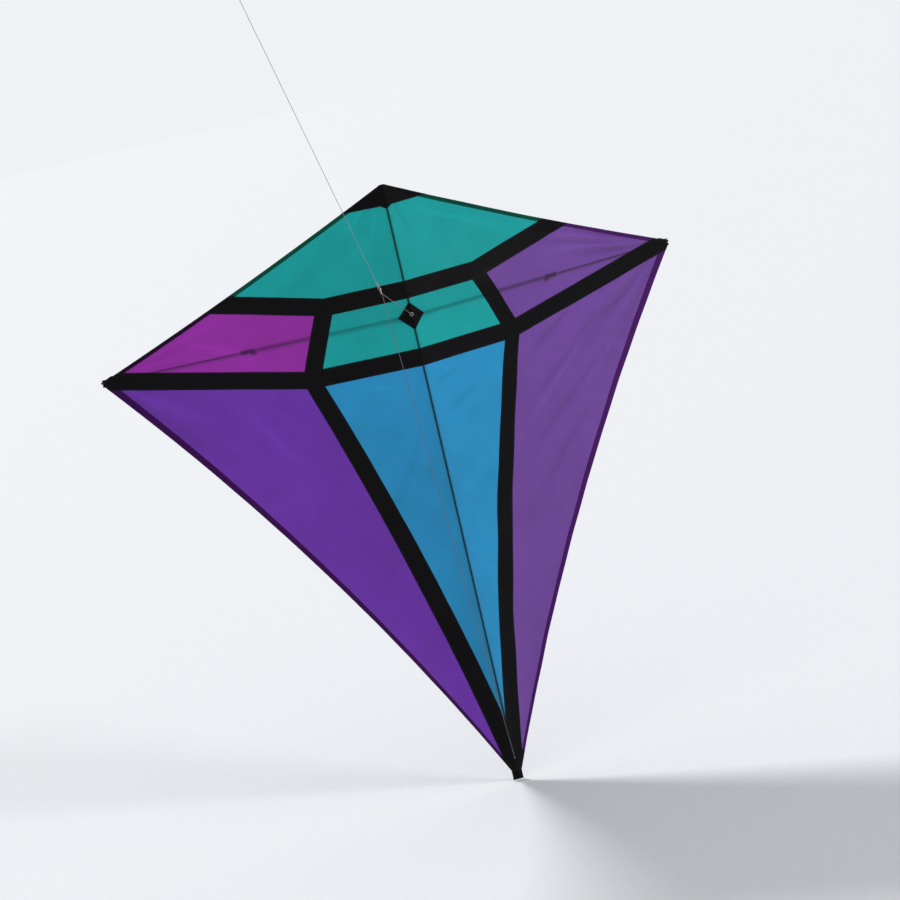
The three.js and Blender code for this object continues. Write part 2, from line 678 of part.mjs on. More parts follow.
function addBridle() {
  add("bridle_knot_upper", knot(KNOT_RADIUS, tieUpper), "thread");
  add("bridle_knot_lower", knot(KNOT_RADIUS, tieLower), "thread");
  add("bridle_leg_upper", leg(tieUpper, TOW_POINT, 12), "thread");
  add("bridle_leg_lower", leg(tieLower, TOW_POINT, 30), "thread");
  add("tow_knot", knot(KNOT_RADIUS, TOW_POINT), "thread");
  add("tow_ring", ring(RING_RADIUS, RING_WIRE, onLine(RING_AT), bridleNormal), "steel");
}

function addLine() {
  const beside = (distance, width) => onLine(distance).addScaledVector(bridleNormal, width);
  // one side of the clip: distance along the line, distance beside it
  const bend = [
    [BARREL_FROM + CLIP_SEAT, BARREL_RADIUS / 2],
    [BARREL_FROM - CLIP_SHOULDER, CLIP_HALF_WIDTH],
    [CLIP_FROM + CLIP_SHOULDER, CLIP_HALF_WIDTH],
    [CLIP_FROM + CLIP_NOSE, 0.7 * CLIP_HALF_WIDTH],
  ];
  const wire = [
    ...bend.map(([distance, width]) => beside(distance, -width)),
    beside(CLIP_FROM, 0),
    ...bend.reverse().map(([distance, width]) => beside(distance, width)),
  ];
  const loop = cordTube(CLIP_WIRE, new THREE.CatmullRomCurve3(wire), 32);
  const barrel = rod(BARREL_RADIUS, onLine(BARREL_FROM), onLine(BARREL_TO));
  add("snap_swivel", join(loop, barrel), "steel");

  const shaft = rod(SHAFT_RADIUS, onLine(BARREL_TO + FIT), onLine(EYE_AT - EYE_RADIUS + FIT));
  add("swivel_eye", join(shaft, ring(EYE_RADIUS, CLIP_WIRE, onLine(EYE_AT), bridleNormal)), "steel");
  add("line_knot", knot(KNOT_RADIUS, onLine(LINE_KNOT_AT)), "thread");
  const stretch = new THREE.LineCurve3(onLine(LINE_FROM), onLine(LINE_END - KNOT_RADIUS - FIT));
  add("flying_line", cordTube(LINE_RADIUS, stretch, 30), "thread");

  // one side of the hand loop: share of its length, share of its half width
  const half = END_LOOP_WIDTH / 2;
  const bulge = [[0.02, 0.04], [0.45, 0.85], [0.8, 0.8]];
  const beyond = (share, width) => beside(LINE_END + END_LOOP_LENGTH * share, half * width);
  const hand = [
    ...bulge.map(([share, width]) => beyond(share, width)),
    beyond(1, 0),
    ...bulge.reverse().map(([share, width]) => beyond(share, -width)),
  ];
  const endLoop = cordTube(LINE_RADIUS, new THREE.CatmullRomCurve3(hand), 32);
  add("line_end_loop", join(endLoop, knot(KNOT_RADIUS, onLine(LINE_END))), "thread");
}

addWing(-1, "left");
addWing(1, "right");
addFrame();
addBridle();
addLine();

export default kite;
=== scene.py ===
"""Looks of a single-line diamond kite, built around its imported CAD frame.

Metres. +Z runs up the spine to the nose, -Y faces the wind, +X is to the right seen from there.
Points of the sail are given on the flat cloth of one wing: across from the spine, up from the cross.
"""

import json
import math
import random

import bpy
import numpy as np
from mathutils import Matrix, Vector
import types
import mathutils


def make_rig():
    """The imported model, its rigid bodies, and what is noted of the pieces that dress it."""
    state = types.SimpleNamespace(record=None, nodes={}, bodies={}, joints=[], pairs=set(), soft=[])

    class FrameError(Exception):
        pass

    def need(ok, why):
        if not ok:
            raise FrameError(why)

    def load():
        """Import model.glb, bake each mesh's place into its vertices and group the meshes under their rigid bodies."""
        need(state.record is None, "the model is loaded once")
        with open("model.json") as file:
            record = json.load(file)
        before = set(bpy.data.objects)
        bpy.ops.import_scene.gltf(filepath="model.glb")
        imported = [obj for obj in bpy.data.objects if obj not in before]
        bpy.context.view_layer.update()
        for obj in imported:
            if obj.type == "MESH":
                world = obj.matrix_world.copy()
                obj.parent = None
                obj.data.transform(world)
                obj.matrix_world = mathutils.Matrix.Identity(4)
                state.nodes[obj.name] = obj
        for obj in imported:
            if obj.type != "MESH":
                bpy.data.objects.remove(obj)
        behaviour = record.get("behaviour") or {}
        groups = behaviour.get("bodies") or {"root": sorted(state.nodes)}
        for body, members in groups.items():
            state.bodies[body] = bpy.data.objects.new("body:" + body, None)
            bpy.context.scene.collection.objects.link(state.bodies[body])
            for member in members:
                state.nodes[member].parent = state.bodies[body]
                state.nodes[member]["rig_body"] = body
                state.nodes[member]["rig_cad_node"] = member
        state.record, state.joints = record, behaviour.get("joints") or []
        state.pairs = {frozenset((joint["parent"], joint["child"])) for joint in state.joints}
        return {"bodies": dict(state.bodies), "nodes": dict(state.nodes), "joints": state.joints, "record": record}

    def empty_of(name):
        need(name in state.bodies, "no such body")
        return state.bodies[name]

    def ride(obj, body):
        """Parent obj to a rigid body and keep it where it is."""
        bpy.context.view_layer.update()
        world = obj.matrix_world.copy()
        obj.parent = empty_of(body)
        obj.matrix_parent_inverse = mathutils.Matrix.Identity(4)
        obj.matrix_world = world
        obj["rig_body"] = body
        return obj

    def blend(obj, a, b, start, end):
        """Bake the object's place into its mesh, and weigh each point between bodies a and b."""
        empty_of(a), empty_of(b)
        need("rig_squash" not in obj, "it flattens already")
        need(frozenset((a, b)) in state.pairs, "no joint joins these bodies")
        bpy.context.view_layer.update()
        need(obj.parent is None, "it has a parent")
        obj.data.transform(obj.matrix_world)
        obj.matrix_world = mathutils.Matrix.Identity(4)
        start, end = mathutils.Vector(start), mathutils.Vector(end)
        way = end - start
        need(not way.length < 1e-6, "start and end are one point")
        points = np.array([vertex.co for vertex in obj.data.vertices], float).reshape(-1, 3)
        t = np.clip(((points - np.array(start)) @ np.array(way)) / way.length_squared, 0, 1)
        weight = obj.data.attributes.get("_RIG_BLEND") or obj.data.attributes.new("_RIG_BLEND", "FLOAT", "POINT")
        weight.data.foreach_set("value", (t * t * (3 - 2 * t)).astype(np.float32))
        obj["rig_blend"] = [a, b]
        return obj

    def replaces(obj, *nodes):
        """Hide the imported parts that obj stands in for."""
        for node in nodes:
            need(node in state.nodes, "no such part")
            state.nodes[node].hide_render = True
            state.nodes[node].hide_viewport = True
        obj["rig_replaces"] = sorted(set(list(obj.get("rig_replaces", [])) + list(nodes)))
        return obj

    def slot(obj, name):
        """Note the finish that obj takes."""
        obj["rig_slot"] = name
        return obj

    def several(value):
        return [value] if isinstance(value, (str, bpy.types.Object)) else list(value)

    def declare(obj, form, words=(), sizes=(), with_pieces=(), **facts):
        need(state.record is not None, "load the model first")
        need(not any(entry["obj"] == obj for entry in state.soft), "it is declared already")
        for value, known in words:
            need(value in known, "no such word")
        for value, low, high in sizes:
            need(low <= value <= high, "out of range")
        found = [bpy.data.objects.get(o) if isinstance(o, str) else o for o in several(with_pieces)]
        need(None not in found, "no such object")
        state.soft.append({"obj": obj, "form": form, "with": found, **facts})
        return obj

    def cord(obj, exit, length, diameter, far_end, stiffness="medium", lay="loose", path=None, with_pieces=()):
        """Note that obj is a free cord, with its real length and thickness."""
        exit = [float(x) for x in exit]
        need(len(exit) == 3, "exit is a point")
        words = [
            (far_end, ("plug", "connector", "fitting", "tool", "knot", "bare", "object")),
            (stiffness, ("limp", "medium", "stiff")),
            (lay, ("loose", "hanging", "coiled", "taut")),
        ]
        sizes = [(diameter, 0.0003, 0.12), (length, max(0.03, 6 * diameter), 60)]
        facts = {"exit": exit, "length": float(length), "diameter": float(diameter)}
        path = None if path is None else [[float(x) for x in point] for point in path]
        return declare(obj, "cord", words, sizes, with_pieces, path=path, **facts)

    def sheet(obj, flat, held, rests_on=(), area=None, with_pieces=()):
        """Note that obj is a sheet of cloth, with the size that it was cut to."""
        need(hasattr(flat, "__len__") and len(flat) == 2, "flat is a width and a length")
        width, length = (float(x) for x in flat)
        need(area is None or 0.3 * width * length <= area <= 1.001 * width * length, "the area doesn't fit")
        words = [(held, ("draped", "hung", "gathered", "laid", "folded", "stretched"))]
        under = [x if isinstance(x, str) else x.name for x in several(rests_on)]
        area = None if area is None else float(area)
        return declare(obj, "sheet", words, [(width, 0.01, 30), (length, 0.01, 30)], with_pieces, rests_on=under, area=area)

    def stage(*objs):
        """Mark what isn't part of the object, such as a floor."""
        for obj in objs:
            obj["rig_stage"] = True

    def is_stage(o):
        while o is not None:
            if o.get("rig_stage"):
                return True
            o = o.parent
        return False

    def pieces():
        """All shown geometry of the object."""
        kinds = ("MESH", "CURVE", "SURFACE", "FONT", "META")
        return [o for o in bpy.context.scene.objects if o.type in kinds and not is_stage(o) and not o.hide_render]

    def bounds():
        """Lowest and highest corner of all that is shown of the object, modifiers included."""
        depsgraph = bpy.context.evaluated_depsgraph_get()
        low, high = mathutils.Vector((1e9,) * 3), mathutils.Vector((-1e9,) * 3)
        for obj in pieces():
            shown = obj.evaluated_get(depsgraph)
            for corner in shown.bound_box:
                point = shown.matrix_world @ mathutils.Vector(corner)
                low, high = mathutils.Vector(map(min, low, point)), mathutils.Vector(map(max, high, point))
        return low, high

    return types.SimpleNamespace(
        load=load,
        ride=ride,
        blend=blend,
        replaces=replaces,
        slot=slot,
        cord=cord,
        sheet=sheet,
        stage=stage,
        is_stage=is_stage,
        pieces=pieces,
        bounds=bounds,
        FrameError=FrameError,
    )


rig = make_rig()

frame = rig.load()
cad_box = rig.bounds()

# ---------------------------------------------------------------- sizes, the same as the frame's
SAIL_HEIGHT = 1.506
CROSS_DROP = 0.329
HALF_SPAN = 0.796
DIHEDRAL = math.radians(18)
FOLD_Y = -0.014
SPINE_Y = -0.007
TAIL_Z = CROSS_DROP - SAIL_HEIGHT

LEADING_HOLLOW = 0.007
TRAILING_HOLLOW = 0.041
LONG_BAND_HOLLOW = 0.012
LOWER_BELLY = 0.028
UPPER_BELLY = 0.004

BAND = 0.044
HALF_BAND = BAND / 2
LEADING_HEM = 0.010
TRAILING_HEM = 0.019
NOSE_HALF_WIDTH = 0.006
NOSE_PATCH_SIDE = 0.120
NOSE_PATCH_DROP = 0.052
NOSE_TONGUE = 0.006
TAIL_HALF_WIDTH = 0.0134
TIP_CUT = 0.008
CENTRE_PATCH = 0.034
BROW_CORNER = (0.2055, 0.066)
WAIST_CORNER = (0.279, -0.104)
SHOULDER_AT = 0.588
TIP_RISE = 0.006
BANDS_CLOSE_AT = 0.131
PANEL_CLOSE_AT = 0.045
LONG_ROWS = 15

SPINE_RADIUS = 0.003
TUBE_RADIUS = 0.003
ROD_RADIUS = 0.0025
FIT = 0.0003
HUB_RADIUS = 0.0052
HUB_HEIGHT = 0.036
RIB_WIDTH = 0.006
RIB_HEIGHT = 0.044
SOCKET_START = 0.0075
SOCKET_LENGTH = 0.042
SOCKET_RADIUS = 0.0046
FERRULE_AT = 0.418
FERRULE_LENGTH = 0.036
FERRULE_RADIUS = 0.0048
POCKET_RADIUS = 0.0054
TIP_POCKET_LENGTH = 0.046
TIP_OVERHANG = 0.008
NOSE_POCKET_LENGTH = 0.045
TAIL_TAB = 0.024
END_INSET = 0.003
CAP_LENGTH = 0.018
CAP_OUTER = SPINE_RADIUS + 0.0011

BRIDLE_Y = FOLD_Y - 0.006
UPPER_TIE = Vector((0, BRIDLE_Y, 0.004))
LOWER_TIE = Vector((0, BRIDLE_Y, -1.142))
TOW_POINT = Vector((-0.118, FOLD_Y - 0.300, 0.098))
LINE_RISE = math.radians(43)
BRIDLE_RADIUS = 0.0007
LINE_RADIUS = 0.0006
LINE_END = 1.130
KNOT_RADIUS = 0.0024
RING_RADIUS = 0.006
RING_WIRE = 0.0009
CLIP_LENGTH = 0.015
CLIP_HALF_WIDTH = 0.0028
CLIP_WIRE = 0.0007
BARREL_LENGTH = 0.008
BARREL_RADIUS = 0.0026
EYE_RADIUS = 0.0026
END_LOOP_LENGTH = 0.060
END_LOOP_WIDTH = 0.026

# ---------------------------------------------------------------- sizes of the finer detail
CELL = 0.005  # grid of the cloth
LAYER = 0.00024  # thickness of one ply
TUCK = 0.006  # how far a panel runs on under the band or hem sewn over it
HEM_THICKNESS = 0.0009
STITCH_PITCH = 0.0034
STITCH_LENGTH = 0.0027
THREAD_RADIUS = 0.00016
STITCH_INSET = 0.0028  # rows of stitches lie this far in from a band's edge

scene = bpy.context.scene
draw = random.Random(7)

# ---------------------------------------------------------------- camera
CAMERA_AIM = Vector((0.0201, 0, -0.348))
CAMERA_DISTANCE = 7.041
CAMERA_YAW = math.radians(11.55)  # it stands left of the sail's normal and looks right
CAMERA_PITCH = math.radians(8.59)  # and looks down
CAMERA_ROLL = math.radians(13.04)
CAMERA_LENS = 113.8


def add_camera():
    look = Vector((
        math.sin(CAMERA_YAW) * math.cos(CAMERA_PITCH),
        math.cos(CAMERA_YAW) * math.cos(CAMERA_PITCH),
        -math.sin(CAMERA_PITCH),
    ))
    right = look.cross(Vector((0, 0, 1))).normalized()
    up = right.cross(look)
    rolled_up = up * math.cos(CAMERA_ROLL) + right * math.sin(CAMERA_ROLL)
    rolled_right = look.cross(rolled_up)
    data = bpy.data.cameras.new("camera")
    data.lens = CAMERA_LENS
    data.sensor_width = 36
    data.clip_end = 200
    camera = bpy.data.objects.new("camera", data)
    turn = Matrix((rolled_right, rolled_up, -look)).transposed()
    camera.matrix_world = Matrix.Translation(CAMERA_AIM - look * CAMERA_DISTANCE) @ turn.to_4x4()
    scene.collection.objects.link(camera)
    scene.camera = camera


add_camera()


# ---------------------------------------------------------------- material helpers
class Shader:
    """The nodes of a material or of the world, and short ways to add to them."""

    def __init__(self, owner):
        owner.use_nodes = True
        self.owner = owner
        self.tree = owner.node_tree
        self.surface = self.tree.nodes.get("Principled BSDF")

    def feed(self, sockets, values):
        """gives each socket its value, or a link from the socket that makes it"""
        for key, value in dict(values).items():
            if isinstance(value, bpy.types.NodeSocket):
                self.tree.links.new(value, sockets[key])
            else:
                sockets[key].default_value = value

    def node(self, kind, values=(), **settings):
        node = self.tree.nodes.new("ShaderNode" + kind)
        for key, value in settings.items():
            setattr(node, key, value)
        self.feed(node.inputs, values)
        return node

    def set(self, **values):
        """settings of the material's own surface; returns the material"""
        self.feed(self.surface.inputs, {key.replace("_", " "): value for key, value in values.items()})
        return self.owner

    def mixed(self, factor, first, second):
        """two surfaces mixed by factor, shown in place of what the output showed"""
        both = self.node("MixShader", {0: factor, 1: first.outputs[0], 2: second.outputs[0]})
        output = next(node for node in self.tree.nodes if node.type.startswith("OUTPUT"))
        self.feed(output.inputs, {"Surface": both.outputs[0]})

    def math(self, operation, *values):
        return self.node("Math", enumerate(values), operation=operation).outputs[0]

    def times(self, first, *others):
        for other in others:
            first = self.math("MULTIPLY", first, other)
        return first

    def fade(self, value, start, end, low=0.0, high=1.0):
        """low where value is under start, high where it is over end, smooth between"""
        values = {"Value": value, "From Min": start, "From Max": end, "To Min": low, "To Max": high}
        return self.node("MapRange", values, interpolation_type="SMOOTHSTEP").outputs["Result"]

    def noise(self, vector, scale, detail=3.0, roughness=0.5):
        values = {"Vector": vector, "Scale": scale, "Detail": detail, "Roughness": roughness}
        return self.node("TexNoise", values).outputs["Fac"]

    def stretched(self, vector, scale, rotation=(0, 0, 0)):
        values = {"Vector": vector, "Scale": scale, "Rotation": rotation}
        return self.node("Mapping", values).outputs["Vector"]

    def wave(self, vector, scale, distortion, direction):
        values = {"Vector": vector, "Scale": scale, "Distortion": distortion}
        return self.node("TexWave", values, bands_direction=direction).outputs["Fac"]

    def tint(self, factor, first, second):
        """one colour turning into another by factor"""
        return self.node("Mix", {0: factor, 6: first, 7: second}, data_type="RGBA").outputs[2]

    def shaded(self, colour, factor):
        """a colour times a grey factor"""
        rgb = self.node("CombineColor", enumerate(colour[:3])).outputs[0]
        return self.node("VectorMath", {0: rgb, "Scale": factor}, operation="SCALE").outputs[0]

    def bump(self, height, strength, distance, under=None):
        values = {"Height": height, "Strength": strength, "Distance": distance}
        if under is not None:
            values["Normal"] = under
        return self.node("Bump", values).outputs["Normal"]

    def attribute(self, name, output):
        return self.node("Attribute", attribute_name=name).outputs[output]

    def here(self):
        """place on the object at rest, in metres"""
        return self.node("TexCoord").outputs["Object"]


def new_shader(name):
    return Shader(bpy.data.materials.new(name))


def linear(red, green, blue):
    """linear colour of a display colour given from 0 to 255"""
    shares = [value / 255 for value in (red, green, blue)]
    return (*(x / 12.92 if x <= 0.04045 else ((x + 0.055) / 1.055) ** 2.4 for x in shares), 1.0)


def scaled(colour, factor, added=0.0):
    """a colour brightened or darkened, alpha left alone"""
    return (*(min(1.0, value * factor + added) for value in colour[:3]), 1.0)


# ---------------------------------------------------------------- cloth materials
RIPSTOP_PITCH = 0.005
RIPSTOP_THREAD = 0.00035
WEAVE_SCALE = 1400
TUBE_STANDS_OFF = 0.24  # past here the spreader is clear of the cloth, and its shadow is softer
LUG_SHADOW_DROP = 0.0070  # a painted shadow blot lies this far under the ferrule's axis, at its inner end


def rod_shade(shader, across, up):
    """painted shade: 1 where nothing lies behind the cloth, less where a rod behind it shows through as a dark line"""
    def line(distance, core, edge, depth):
        return shader.fade(distance, core, core + edge, 1 - depth, 1.0)

    def inside(start, end, edge):
        falls = shader.fade(across, end - edge, end + edge, 1.0, 0.0)
        return shader.times(shader.fade(across, start - edge, start + edge), falls)

    height = shader.math("ABSOLUTE", up)
    lug_shadow = shader.math("ABSOLUTE", shader.math("ADD", up, LUG_SHADOW_DROP))
    ferrule_start, ferrule_end = FERRULE_AT - FERRULE_LENGTH / 2, FERRULE_AT + FERRULE_LENGTH / 2
    shade = line(shader.math("ABSOLUTE", across), SPINE_RADIUS * 0.55, 0.0024, 0.78)
    for where, shape in (
        (inside(0.02, TUBE_STANDS_OFF, 0.01), line(height, 0.0006, 0.0050, 0.26)),
        (inside(TUBE_STANDS_OFF, ferrule_start, 0.01), line(height, 0.0004, 0.0072, 0.40)),
        (inside(ferrule_start, ferrule_end, 0.005), line(height, FERRULE_RADIUS * 0.6, 0.0045, 0.60)),
        # a painted shadow blot under the ferrule's inner end
        (inside(ferrule_start - 0.004, ferrule_start + 0.010, 0.003), line(lug_shadow, 0.0024, 0.0042, 0.42)),
        (inside(ferrule_end, HALF_SPAN, 0.01), line(height, 0.0008, 0.0032, 0.48)),
    ):
        lost = shader.times(where, shader.math("SUBTRACT", 1.0, shape))
        shade = shader.times(shade, shader.math("SUBTRACT", 1.0, lost))
    return shade


def ripstop(name, colour, glow, through, gloss=0.42, shine=0.16, sheen=0.03):
    """Woven nylon: colour in front light, glow in back light, through is the share it passes on."""
    shader = new_shader(name)
    flat = shader.attribute("flat", "Vector")
    parts = shader.node("SeparateXYZ", {0: flat}).outputs

    def rib(value):
        near = shader.math("PINGPONG", value, RIPSTOP_PITCH / 2)
        return shader.fade(near, 0.0, RIPSTOP_THREAD, 1.0, 0.0)

    ribs = shader.math("MAXIMUM", rib(parts["X"]), rib(parts["Y"]))
    cloud = shader.noise(flat, 3.2, 4.0, 0.55)
    fading = shader.noise(flat, 17.0, 5.0, 0.6)
    slubs = shader.noise(shader.stretched(flat, (60, 900, 60)), 1.0, 2.0)
    # tone: the cloth's own cloudiness, fading, slubs and rip lines, times painted shade where rods lie behind it and
    # painted light and shade along its creases
    tone = shader.times(
        shader.fade(cloud, 0.25, 0.75, 0.95, 1.05),
        shader.fade(fading, 0.2, 0.8, 0.965, 1.035),
        shader.fade(slubs, 0.2, 0.8, 0.975, 1.025),
        shader.math("SUBTRACT", 1.0, shader.times(ribs, 0.07)),
        rod_shade(shader, parts["X"], parts["Y"]),
        shader.math("ADD", 1.0, shader.attribute("crease", "Fac")),
    )
    weave = shader.math("MAXIMUM", *(shader.wave(flat, WEAVE_SCALE / 6.28, 0.4, along) for along in "XY"))
    rumples = shader.noise(shader.stretched(flat, (26, 7, 26), (0, 0, 0.3)), 1.0, 5.0, 0.62)
    normal = shader.bump(rumples, 0.30, 0.004)
    normal = shader.bump(ribs, 0.35, 0.00015, normal)
    normal = shader.bump(weave, 0.20, 0.00006, normal)
    made = shader.set(
        Base_Color=shader.shaded(colour, tone),
        Roughness=shader.fade(fading, 0.2, 0.8, gloss - 0.05, gloss + 0.07),
        Normal=normal,
        Specular_IOR_Level=shine,
        Sheen_Weight=sheen,
        Sheen_Roughness=0.4,
    )
    behind = shader.node("BsdfTranslucent", {"Color": shader.shaded(glow, tone), "Normal": normal})
    shader.mixed(through, shader.surface, behind)
    return made


def panel_cloth(name, *display):
    colour = linear(*display)
    return ripstop(f"ripstop_{name}", colour, scaled(colour, 1.5, 0.01), 0.5)


def hem_cloth(name, *display):
    colour = linear(*display)
    return ripstop(f"ripstop_{name}_folded", colour, colour, 0.22, 0.5, 0.08, 0.0)


TEAL, TEAL_HEM = panel_cloth("teal", 35, 158, 157), hem_cloth("teal", 0, 74, 58)
BLUE = panel_cloth("blue", 56, 147, 180)
MAGENTA, MAGENTA_HEM = panel_cloth("magenta", 151, 60, 159), hem_cloth("magenta", 34, 4, 38)
VIOLET, VIOLET_HEM = panel_cloth("violet", 119, 67, 162), hem_cloth("violet", 58, 8, 78)
# violet with painted light: a paler copy of the violet cloth, for the right wing, which catches more light
VIOLET_PAINTED_LIT, VIOLET_HEM_PAINTED_LIT = panel_cloth("lilac", 124, 87, 154), hem_cloth("lilac", 74, 22, 98)
BLACK = ripstop("ripstop_black", linear(7, 6, 8), linear(16, 13, 17), 0.08, 0.46, 0.08, 0.0)
BLACK_PATCH = ripstop("patch_black", linear(6, 5, 7), linear(12, 11, 13), 0.05, 0.52, 0.07, 0.0)


# ---------------------------------------------------------------- hard and cord materials
def carbon():
    shader = new_shader("carbon_rod")
    here = shader.here()
    both_ways = [shader.stretched(here, scale) for scale in ((900, 900, 14), (14, 900, 900))]
    grain = shader.times(*(shader.noise(fibres, 1.0, 4.0) for fibres in both_ways))
    scuffs = shader.noise(here, 60, 4.0, 0.7)
    return shader.set(
        Base_Color=shader.tint(shader.fade(grain, 0.15, 0.4), linear(20, 20, 22), linear(46, 46, 50)),
        Roughness=shader.fade(scuffs, 0.3, 0.75, 0.24, 0.46),
        Normal=shader.bump(grain, 0.3, 0.0002),
        Coat_Weight=0.3,
        Coat_Roughness=0.2,
    )


def moulded(name, base, roughness):
    """moulded rubber or vinyl with a fine skin, scuffed paler on its high spots"""
    shader = new_shader(name)
    here = shader.here()
    skin = shader.noise(here, 1800, 3.0)
    wear = shader.noise(here, 140, 5.0, 0.7)
    return shader.set(
        Base_Color=shader.tint(shader.fade(wear, 0.52, 0.78, 0.0, 0.5), base, scaled(base, 2.6, 0.012)),
        Roughness=shader.fade(wear, 0.3, 0.7, roughness - 0.08, roughness + 0.1),
        Normal=shader.bump(wear, 0.25, 0.0003, shader.bump(skin, 0.35, 0.00008)),
    )


def braid(name, base, pitch):
    """plaited cord: short slanting strands both ways"""
    shader = new_shader(name)
    here = shader.here()
    turned = [shader.stretched(here, (1, 1, 1), (slant, slant * 0.6, 0.3)) for slant in (0.9, -0.9)]
    plait = shader.math("MAXIMUM", *(shader.wave(strands, 1 / pitch, 0.6, "Z") for strands in turned))
    fuzz = shader.noise(here, 700, 3.0)
    tone = shader.times(plait, shader.fade(fuzz, 0.2, 0.8, 0.75, 1.0))
    return shader.set(
        Base_Color=shader.tint(tone, scaled(base, 0.62), base),
        Roughness=shader.fade(fuzz, 0.2, 0.8, 0.5, 0.8),
        Normal=shader.bump(plait, 0.6, 0.0002),
        Sheen_Weight=0.25,
    )


def plated():
    shader = new_shader("plated_metal")
    here = shader.here()
    brushed = shader.noise(shader.stretched(here, (300, 300, 3000)), 1.0, 3.0)
    tarnish = shader.fade(shader.noise(here, 220, 4.0, 0.6), 0.45, 0.8)
    return shader.set(
        Base_Color=shader.tint(tarnish, linear(172, 164, 152), linear(112, 104, 94)),
        Metallic=1.0,
        Roughness=shader.fade(brushed, 0.2, 0.8, 0.16, 0.34),
        Normal=shader.bump(brushed, 0.15, 0.0001),
    )


def sewing_thread():
    shader = new_shader("sewing_thread")
    fuzz = shader.noise(shader.here(), 1500, 3.0)
    return shader.set(
        Base_Color=shader.tint(fuzz, linear(30, 28, 32), linear(58, 55, 60)),
        Roughness=0.55,
        Normal=shader.bump(fuzz, 0.4, 0.0001),
        Sheen_Weight=0.3,
    )


CARBON = carbon()
RUBBER = moulded("moulded_rubber", linear(22, 22, 24), 0.55)
VINYL = moulded("black_vinyl", linear(16, 16, 18), 0.36)
BRIDLE_CORD = braid("bridle_cord", linear(84, 77, 86), 0.0016)
LINE_CORD = braid("line_cord", linear(120, 120, 126), 0.0013)
STEEL = plated()
THREAD = sewing_thread()


# ---------------------------------------------------------------- mesh helpers
SLOTS = {row["node"]: row["material_slot"] for row in frame["record"]["subparts"]}


def new_object(name, vertices, faces):
    mesh = bpy.data.meshes.new(name)
    mesh.from_pydata([tuple(v) for v in vertices], [], [tuple(int(i) for i in f) for f in faces])
    obj = bpy.data.objects.new(name, mesh)
    scene.collection.objects.link(obj)
    return obj


def finished(obj, material, body, nodes, sharp):
    """smooth but for its sharp edges, in one material, riding on a body and standing for nodes"""
    mesh = obj.data
    mesh.polygons.foreach_set("use_smooth", [True] * len(mesh.polygons))
    mesh.set_sharp_from_angle(angle=math.radians(sharp))
    mesh.materials.clear()
    mesh.materials.append(material)
    if body:
        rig.ride(obj, body)
    if nodes:
        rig.replaces(obj, *nodes)
        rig.slot(obj, SLOTS[nodes[0]])
    return obj


def piece(name, vertices, faces, material, body, nodes=(), sharp=50):
    return finished(new_object(name, vertices, faces), material, body, nodes, sharp)


def merged(*shapes):
    """several (vertices, faces) shapes as one"""
    vertices, faces = [], []
    for points, polygons in shapes:
        start = len(vertices)
        vertices.extend(points)
        faces.extend([tuple(start + i for i in polygon) for polygon in polygons])
    return vertices, faces


def turns(count):
    """a full turn in equal steps"""
    return [2 * math.pi * n / count for n in range(count)]


def frames_along(points):
    """a pair of sideways directions at each point of a path, turning with it as little as possible"""
    tangents = []
    for k in range(len(points)):
        ahead = points[min(k + 1, len(points) - 1)]
        tangents.append((ahead - points[max(k - 1, 0)]).normalized())
    side = tangents[0].orthogonal().normalized()
    pairs = []
    for tangent in tangents:
        side = (side - tangent * side.dot(tangent)).normalized()
        pairs.append((side, tangent.cross(side)))
    return pairs


def joined(rings, closed=False):
    """a skin over rings of points, capped at both ends if the last ring doesn't meet the first"""
    sides = len(rings[0])
    faces = []
    for k in range(len(rings) if closed else len(rings) - 1):
        here, there = k * sides, (k + 1) % len(rings) * sides
        for n in range(sides):
            after = (n + 1) % sides
            faces.append((here + n, here + after, there + after, there + n))
    if not closed:
        faces.append(tuple(reversed(range(sides))))
        faces.append(tuple((len(rings) - 1) * sides + n for n in range(sides)))
    return [point for ring in rings for point in ring], faces


def tube(points, radius, sides=12, closed=False):
    """a round tube along a path; radius is one number or one for each point"""
    radii = radius if hasattr(radius, "__len__") else [radius] * len(points)
    pairs = frames_along(points)
    first, last = pairs[0], pairs[-1]
    twist = math.atan2(last[0].dot(first[1]), last[0].dot(first[0])) if closed else 0.0
    rings = []
    for k, (one, two) in enumerate(pairs):
        around = [turn - twist * k / len(points) for turn in turns(sides)]
        rings.append([points[k] + (one * math.cos(t) + two * math.sin(t)) * radii[k] for t in around])
    return joined(rings, closed)


def both_ends(half, length):
    """the profile of a turned shape like at both ends, from that of its lower end"""
    return half + [(radius, length - height) for radius, height in reversed(half)]


def lathe(profile, origin, axis, sides=32, closed=False):
    """a turned shape: profile is (distance from the axis, distance along it), closed for a sleeve"""
    axis = Vector(axis).normalized()
    one = axis.orthogonal().normalized()
    two = axis.cross(one)
    vertices, faces, rows = [], [], []
    for radius, height in profile:
        around = turns(sides) if radius > 0 else [0.0]
        rows.append([len(vertices) + n for n in range(len(around))])
        for turn in around:
            out = one * math.cos(turn) + two * math.sin(turn)
            vertices.append(Vector(origin) + axis * height + out * radius)
    pairs = list(zip(rows, rows[1:])) + ([(rows[-1], rows[0])] if closed else [])
    for low, high in pairs:
        for n in range(sides):
            after = (n + 1) % sides
            if len(low) == 1:
                faces.append((low[0], high[after], high[n]))
            elif len(high) == 1:
                faces.append((low[n], low[after], high[0]))
            else:
                faces.append((low[n], low[after], high[after], high[n]))
    return vertices, faces


def smooth_path(points, steps):
    """a smooth curve through a few points"""
    points = [Vector(p) for p in points]
    full = [points[0] * 2 - points[1], *points, points[-1] * 2 - points[-2]]
    path = []
    for k in range(len(points) - 1):
        a, b, c, d = full[k:k + 4]
        for step in range(steps):
            t = step / steps
            path.append(0.5 * (2 * b + (c - a) * t + (2 * a - 5 * b + 4 * c - d) * t * t
                               + (3 * b - a - 3 * c + d) * t ** 3))
    path.append(points[-1])
    return path


# ---------------------------------------------------------------- lines on the flat cloth
def at(across, up):
    return np.array((across, up), float)


